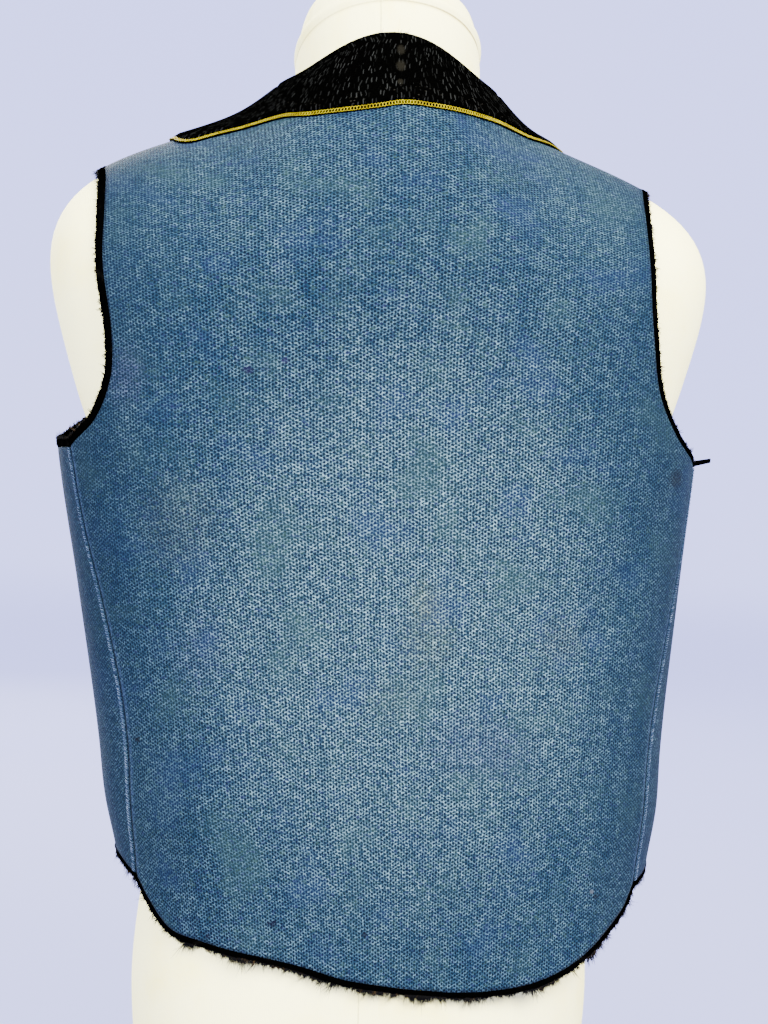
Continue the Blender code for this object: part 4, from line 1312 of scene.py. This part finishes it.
def hem_weight(path):
    """How thick fray grows along the hem and front edges: thickest in the hem's clumps."""
    on_hem = (path[:, 2] < HEM_TOP) * (path[:, 1] > 0)
    clumps = sum(much * np.exp(-(((path[:, 0] - x) / wide) ** 2)) for x, wide, much in HEM_CLUMPS)
    return 0.25 + on_hem * (1.2 + 2.0 * wander(lengths(path), 9, 0.012, 0.5) ** 2 + clumps)


def nape_weight(least, wide):
    """How thick fray grows along the collar: thickest in the middle of the back."""
    return lambda path: least + 1.6 * np.exp(-((path[:, 0] / wide) ** 2))


def loose_strand(name, path, across, normals, start, material):
    """Threads of the strip that have come loose together and hang along its lower edge."""
    random = np.random.default_rng(77)
    at = lengths(path)
    on_hem = (path[:, 2] < HEM_TOP) * (path[:, 1] > 0)
    where = at[np.argmin(np.abs(path[:, 0] - STRAND["x"]) + 1 - on_hem)]
    count = STRAND["threads"]
    place = where + random.uniform(-STRAND["spread"], STRAND["spread"], count)
    point, side, out = (read_line(line, at, place) for line in (path, across, normals))
    roots = point + (start - random.uniform(0.0, 0.0014, count))[:, None] * side
    roots = roots + random.uniform(0.0004, 0.0014, count)[:, None] * out
    ways = np.array(STRAND["way"]) + random.normal(0, 0.035, (count, 3))
    length = STRAND["length"] * random.uniform(0.6, 1.0, count)
    curl = random.uniform(0.02, 0.08, count)
    radius = random.uniform(0.00012, 0.00026, count)
    return fibres(name, roots, ways, length, radius, curl, 78, material, "black_velvet")


def build_collar(left, right, neckline, material):
    inner, outer = collar_lines(left, right, neckline)
    opening = -sideways(inner)
    edge = reach(vest_field, inner + (SEAM_GAP + BINDING_WIDTH) * opening)
    low, high = CLOTH + 0.0002, CLOTH + LAY_GAP + COLLAR_CLOTH
    share = np.linspace(0, 1, COLLAR_COLUMNS + 1)
    band = [reach(vest_field, inner + t * (outer - inner)) for t in share]
    rising, falling = (np.sin(np.pi * np.clip(part / PLUMP_SHARE, 0, 0.5)) for part in (share, 1 - share))
    plump = COLLAR_PLUMP * rising * falling
    cap = inner + SEAM_GAP * opening
    between = reach(vest_field, 0.5 * (edge + inner))
    bend = 0.8 * edge + 0.2 * between
    ring = [(edge, 0.5 * high), (edge, high - 0.0010), (bend, high), (between, high + 0.0004)]
    ring += [(line, high - 0.0009 + swell + 0.0004) for line, swell in zip(band, plump)]
    ring += [(outer, 0.5 * (low + high))]
    ring += [(line, low) for line in band[:0:-1]]
    ring += [(cap, low), (cap, -BINDING_SINK), (edge, -BINDING_SINK)]
    rings = np.stack([line + lift * outward(line) for line, lift in ring], 1)
    at = lengths(outer)
    count = rings.shape[1]
    v = np.zeros((len(at), count))
    for k, (line, _) in enumerate(ring):
        v[:, k] = np.linalg.norm(line - outer, axis=1)
    uv = np.stack([np.repeat(at[:, None], count, 1), v], -1)
    uneven = wander(np.arange(len(at)) * 0.002, 5, 0.006, COLLAR_UNEVEN)
    rings[:, 4:-6] += uneven[:, None, None] * outward(outer)[:, None]
    item = make_mesh("collar_velvet", rings, tube(rings), uv)
    finish_piece(item, material, "black_velvet", "collar")
    return item, outer, edge, opening


def build_braid(outer, gold, black):
    """A row of gold loops on a narrow black tape, along the collar's outer edge."""
    near, far = SEAM_GAP, SEAM_GAP + BRAID_WIDTH
    across, normals = sideways(outer), outward(outer)
    low, high = CLOTH + 0.0001, CLOTH + LAY_GAP
    inner_side, outer_side, middle = near - 0.0002, far - TAPE_INSET, 0.5 * (near + far)
    profile = ((inner_side, low), (outer_side, low), (outer_side, high - 2 * TAPE_INSET), (middle, high),
               (inner_side, high - TAPE_INSET))
    rings = ribbon(outer, across, normals, profile)
    at = lengths(outer)
    uv = np.stack(np.broadcast_arrays(at[:, None], np.arange(len(profile)) * 0.001), -1)
    tape = make_mesh("braid_tape", rings, tube(rings), uv)
    finish_piece(tape, black, "black_velvet")
    count = int(at[-1] / LINK_STEP)
    places = (np.arange(count) + 0.5) * at[-1] / count
    line = outer + middle * across + (high + LINK_THREAD * 0.6) * normals
    centre = read_line(line, at, places)
    out, side = unit(read_line(normals, at, places)), unit(read_line(across, at, places))
    way = np.cross(out, side)
    random = np.random.default_rng(11)
    turn = full_turn(LINK_RINGS)
    tilt = random.normal(0, 0.10, (count, 1))
    stretch = random.uniform(0.92, 1.06, (count, 1))
    x = np.cos(turn)[None] * LINK_HALF_LENGTH * stretch
    y = np.sin(turn)[None] * LINK_HALF_WIDTH * (1 + 0.14 * np.cos(turn)[None]) / stretch
    x, y = x * np.cos(tilt) - y * np.sin(tilt), x * np.sin(tilt) + y * np.cos(tilt)
    lift = LINK_LIFT * np.cos(turn)[None] + random.normal(0, 0.00005, (count, 1))
    spine = centre[:, None] + x[..., None] * way[:, None] + y[..., None] * side[:, None]
    spine = spine + lift[..., None] * out[:, None]
    tangent = unit(np.roll(spine, -1, axis=1) - np.roll(spine, 1, axis=1))
    lateral = np.cross(tangent, out[:, None])
    angle = full_turn(LINK_SIDES)
    ring = np.cos(angle)[:, None] * lateral[:, :, None] + np.sin(angle)[:, None] * out[:, None, None]
    points = spine[:, :, None] + LINK_THREAD * ring
    loops = make_mesh("gold_braid_loops", points, tube_quads(points, joined=1))
    finish_piece(loops, gold, "gold_thread", "gold_braid")
    return tape, loops


def seam_threads(name, lines, sign, material, seed):
    """Slanted worn threads over the ridge beside a side seam."""
    line = lines["seam"]
    at, normals = lengths(line), outward(line)
    toward_front = -sign * sideways(line)
    random = np.random.default_rng(seed)
    count = int(at[-1] / THREAD_STEP)
    places = np.sort((np.arange(count) + random.uniform(-0.25, 0.25, count) + 0.5) * at[-1] / count)
    keep = random.random(count) < THREADS_LEFT
    places = places[keep]
    steps = np.linspace(0, 1, 5)
    slant = random.normal(THREAD_SLANT, 0.0003, len(places))
    start = random.normal(0.0009, 0.0002, len(places))
    long = random.normal(0.0032, 0.0004, len(places))
    where = np.clip(places[:, None] + slant[:, None] * steps, 0, at[-1])
    away = start[:, None] + long[:, None] * steps
    lift = CLOTH + seam_ridge(away) + 0.00016 * np.sin(np.pi * steps) + 0.00003
    spine = read_line(line, at, where)
    side, out = unit(read_line(toward_front, at, where)), unit(read_line(normals, at, where))
    base = reach(vest_field, (spine + away[..., None] * side).reshape(-1, 3))
    base = (base + relief(base)[:, None] * outward(base)).reshape(spine.shape)
    spine = base + lift[..., None] * out
    tangent = unit(np.gradient(spine, axis=1))
    lateral = np.cross(tangent, out)
    angle = full_turn(5)
    thick = THREAD_RADIUS * np.array([0.35, 1.0, 1.1, 1.0, 0.35])
    ring = np.cos(angle)[:, None] * lateral[:, :, None] + np.sin(angle)[:, None] * out[:, :, None]
    points = spine[:, :, None] + thick[:, None, None] * ring
    return finish_piece(make_mesh(name, points, tube_quads(points)), material, "blue_cloth")


def build_form(material):
    """The dress form, with the sewn cover's seams up its back and round its neck."""
    turn = np.linspace(0, 2 * np.pi, FORM_SIDES + 1)
    ring = np.stack([np.sin(turn), np.cos(turn), 0 * turn], 1)
    trunk = np.linspace(FORM_FOOT["height"], TRUNK_TOP, TRUNK_ROWS)
    places = [(TRUNK_HALVES, height) for height in trunk]
    for t in np.linspace(0, 1, SHOULDER_ROWS)[1:]:
        halves = SHOULDER_HALVES[0] + t * (SHOULDER_HALVES[1] - SHOULDER_HALVES[0])
        places.append((halves, SHOULDER_HEIGHTS[0] + t * (SHOULDER_HEIGHTS[1] - SHOULDER_HEIGHTS[0])))
    for height in np.linspace(*NECK_HEIGHTS, NECK_ROWS):
        dome = max(1 - ((height - NECK_BASE) / (NECK_TOP - NECK_BASE)) ** NECK_SQUARENESS, 0.0)
        radius = NECK_RADIUS * dome ** (1 / NECK_SQUARENESS)
        places.append(((radius, radius), height))
    rings = np.array([reach(form_field, ring * (*halves, 0) + (0, 0, height)) for halves, height in places])
    foot = rings[0] * (FORM_FOOT["inset"], FORM_FOOT["inset"], 0)
    rings = np.concatenate([foot[None], rings])
    flat = rings.reshape(-1, 3)
    x, y, z = flat.T
    back_seam = np.where(y > 0, np.exp(-(((x - FORM_SEAM["x"]) / FORM_SEAM["width"]) ** 2)), 0)
    at_neck = np.clip((z - NECK_SEAM["from"]) / 0.010, 0, 1)
    on_cap = z - NECK_SEAM["height"] - NECK_SEAM["tilt"] * y
    dip = at_neck * np.exp(-((on_cap / NECK_SEAM["width"]) ** 2))
    roll = at_neck * np.exp(-(((on_cap - NECK_SEAM["roll_away"]) / NECK_SEAM["roll_width"]) ** 2))
    inward = FORM_SEAM["depth"] * back_seam + NECK_SEAM["depth"] * dip - NECK_SEAM["roll"] * roll
    flat = flat - inward[:, None] * outward(flat, form_field)
    uv = np.stack(np.meshgrid(lengths(rings[GIRTH_ROW, :, :2]), lengths(rings[:, 0])), -1)
    index = np.arange(len(flat)).reshape(rings.shape[:2])
    faces = grid_quads(index).tolist() + [index[0, ::-1].tolist(), index[-1].tolist()]
    return finish_piece(make_mesh("form_cover", flat, faces, uv), material, "form_jersey", "dress_form")


def make_camera():
    """Behind the vest at the photograph's angle, aimed so that the vest falls where the picture has it."""
    right = np.array([-np.cos(YAW), np.sin(YAW), 0.0])
    ahead = np.array([-np.sin(YAW), -np.cos(YAW), 0.0])
    up = np.array([0.0, 0.0, 1.0])
    right, up = right * np.cos(ROLL) + up * np.sin(ROLL), up * np.cos(ROLL) - right * np.sin(ROLL)
    ahead = unit(ahead - AIM_PIXELS[0] / FOCAL_PIXELS * right + AIM_PIXELS[1] / FOCAL_PIXELS * up)
    right = unit(right - (right @ ahead) * ahead)
    up = np.cross(right, ahead)
    place = np.array([DISTANCE * np.sin(YAW), DISTANCE * np.cos(YAW), EYE_HEIGHT])
    data = bpy.data.cameras.new("camera")
    data.sensor_width = SENSOR
    data.lens = FOCAL_PIXELS / LONG_SIDE_PIXELS * SENSOR
    camera = bpy.data.objects.new("camera", data)
    matrix = np.eye(4)
    matrix[:3] = np.stack([right, up, -ahead, place], 1)
    camera.matrix_world = Matrix(matrix.tolist())
    bpy.context.scene.collection.objects.link(camera)
    bpy.context.scene.camera = camera


def make_stage(material):
    """A round pale floor that curves up into a backdrop on every side."""
    profile = [(2.0, 0.0), (4.0, 0.0)]
    for t in np.linspace(0, np.pi / 2, 12):
        away = STAGE_RADIUS - STAGE_BEND + STAGE_BEND * np.sin(t)
        profile.append((away, STAGE_BEND - STAGE_BEND * np.cos(t)))
    profile.append((STAGE_RADIUS, STAGE_HEIGHT))
    turn = full_turn(STAGE_SIDES)
    points = np.array([[(r * np.sin(a), r * np.cos(a), z - STAGE_DROP) for a in turn] for r, z in profile])
    faces = tube_quads(points) + [list(range(STAGE_SIDES))[::-1]]
    stage = make_mesh("floor", points, faces)
    stage.data.materials.append(material)


def make_lights():
    for name, x, y, z, size, watts, colour in LIGHTS[1:]:
        data = bpy.data.lights.new(name, "AREA")
        data.shape, data.size, data.energy, data.color = "DISK", size, watts, colour
        lamp = bpy.data.objects.new(name, data)
        lamp.location = (x, y, z)
        lamp.rotation_euler = (Vector(LIGHTS_AIM) - lamp.location).to_track_quat("-Z", "Y").to_euler()
        bpy.context.scene.collection.objects.link(lamp)
    world = bpy.data.worlds.new("soft_sky")
    world.use_nodes = True
    sky = world.node_tree.nodes["Background"].inputs
    sky["Color"].default_value = SKY_COLOUR
    sky["Strength"].default_value = SKY_STRENGTH
    bpy.context.scene.world = world


def main():
    make_camera()
    make_lights()
    make_stage(stage_paint())
    left, right = outlines("left"), outlines("right")
    neckline = back_neckline(left, right)
    cloth, black, pile = blue_cloth(), velvet("black_velvet", False), velvet("collar_velvet", True)
    hair = plain_thread("black_fray", (0.0004, 0.0004, 0.0004), (0.0022, 0.0019, 0.0016))
    brown = plain_thread("brown_fray", (0.0100, 0.0060, 0.0024), (0.0360, 0.0220, 0.0080))
    pale = plain_thread("pale_seam_thread", (0.0240, 0.0400, 0.0740), (0.0800, 0.1080, 0.1500))
    gold = gold_thread()
    form = build_form(jersey())
    back, fronts, hem = build_cloth(left, right, neckline, cloth)
    middle = len(hem) // 2
    strips = {
        "armhole_binding_left": armhole_strip("armhole_binding_left", left, 1, False, 21, black),
        "armhole_binding_right": armhole_strip("armhole_binding_right", right, -1, True, 41, black),
        "edge_binding_left": edge_strip("edge_binding_left", hem[middle::-1], left, 1, 61, black),
        "edge_binding_right": edge_strip("edge_binding_right", hem[middle:], right, -1, 81, black),
    }
    collar, outer, edge, opening = build_collar(left, right, neckline, pile)
    tape, loops = build_braid(outer, gold, black)

    frays = {}
    for name, (_, *lines) in strips.items():
        kind = name.split("_")[0]
        weight = {"edge": hem_weight, "armhole": armhole_weight}[kind]
        count, long, droop = FRAY[kind]
        seed, start = 100 + 10 * len(frays), SEAM_GAP + STRIP_WIDTH[name]
        lean = (0, 0, droop)
        frays[name] = fray(name + "_fray", *lines, start, count, weight, long, seed, hair, lean)
        frays[name + "_brown"] = fray(name + "_brown_fray", *lines, start, BROWN_FIBRES, weight,
                                      long * BROWN_LONGER, seed + 3, brown, lean)
    _, *lines = strips["edge_binding_left"]
    start = SEAM_GAP + STRIP_WIDTH["edge_binding_left"]
    strand = loose_strand("edge_loose_strand", *lines, start, hair)
    stitches = [seam_threads("seam_threads_left", left, 1, pale, 201),
                seam_threads("seam_threads_right", right, -1, pale, 202)]
    margin = COLLAR_FRAY_MARGIN
    behind_neck = slice(len(left["front_neckline"]) - margin, margin - len(right["front_neckline"]))
    lines = [line[behind_neck] for line in (edge, opening, outward(edge))]
    top = [fray(name, *lines, COLLAR_FRAY_INSET, count, nape_weight(least, wide), long, seed,
                hair if colour == "black" else brown)
           for name, count, least, wide, long, seed, colour in COLLAR_FRAY]


main()
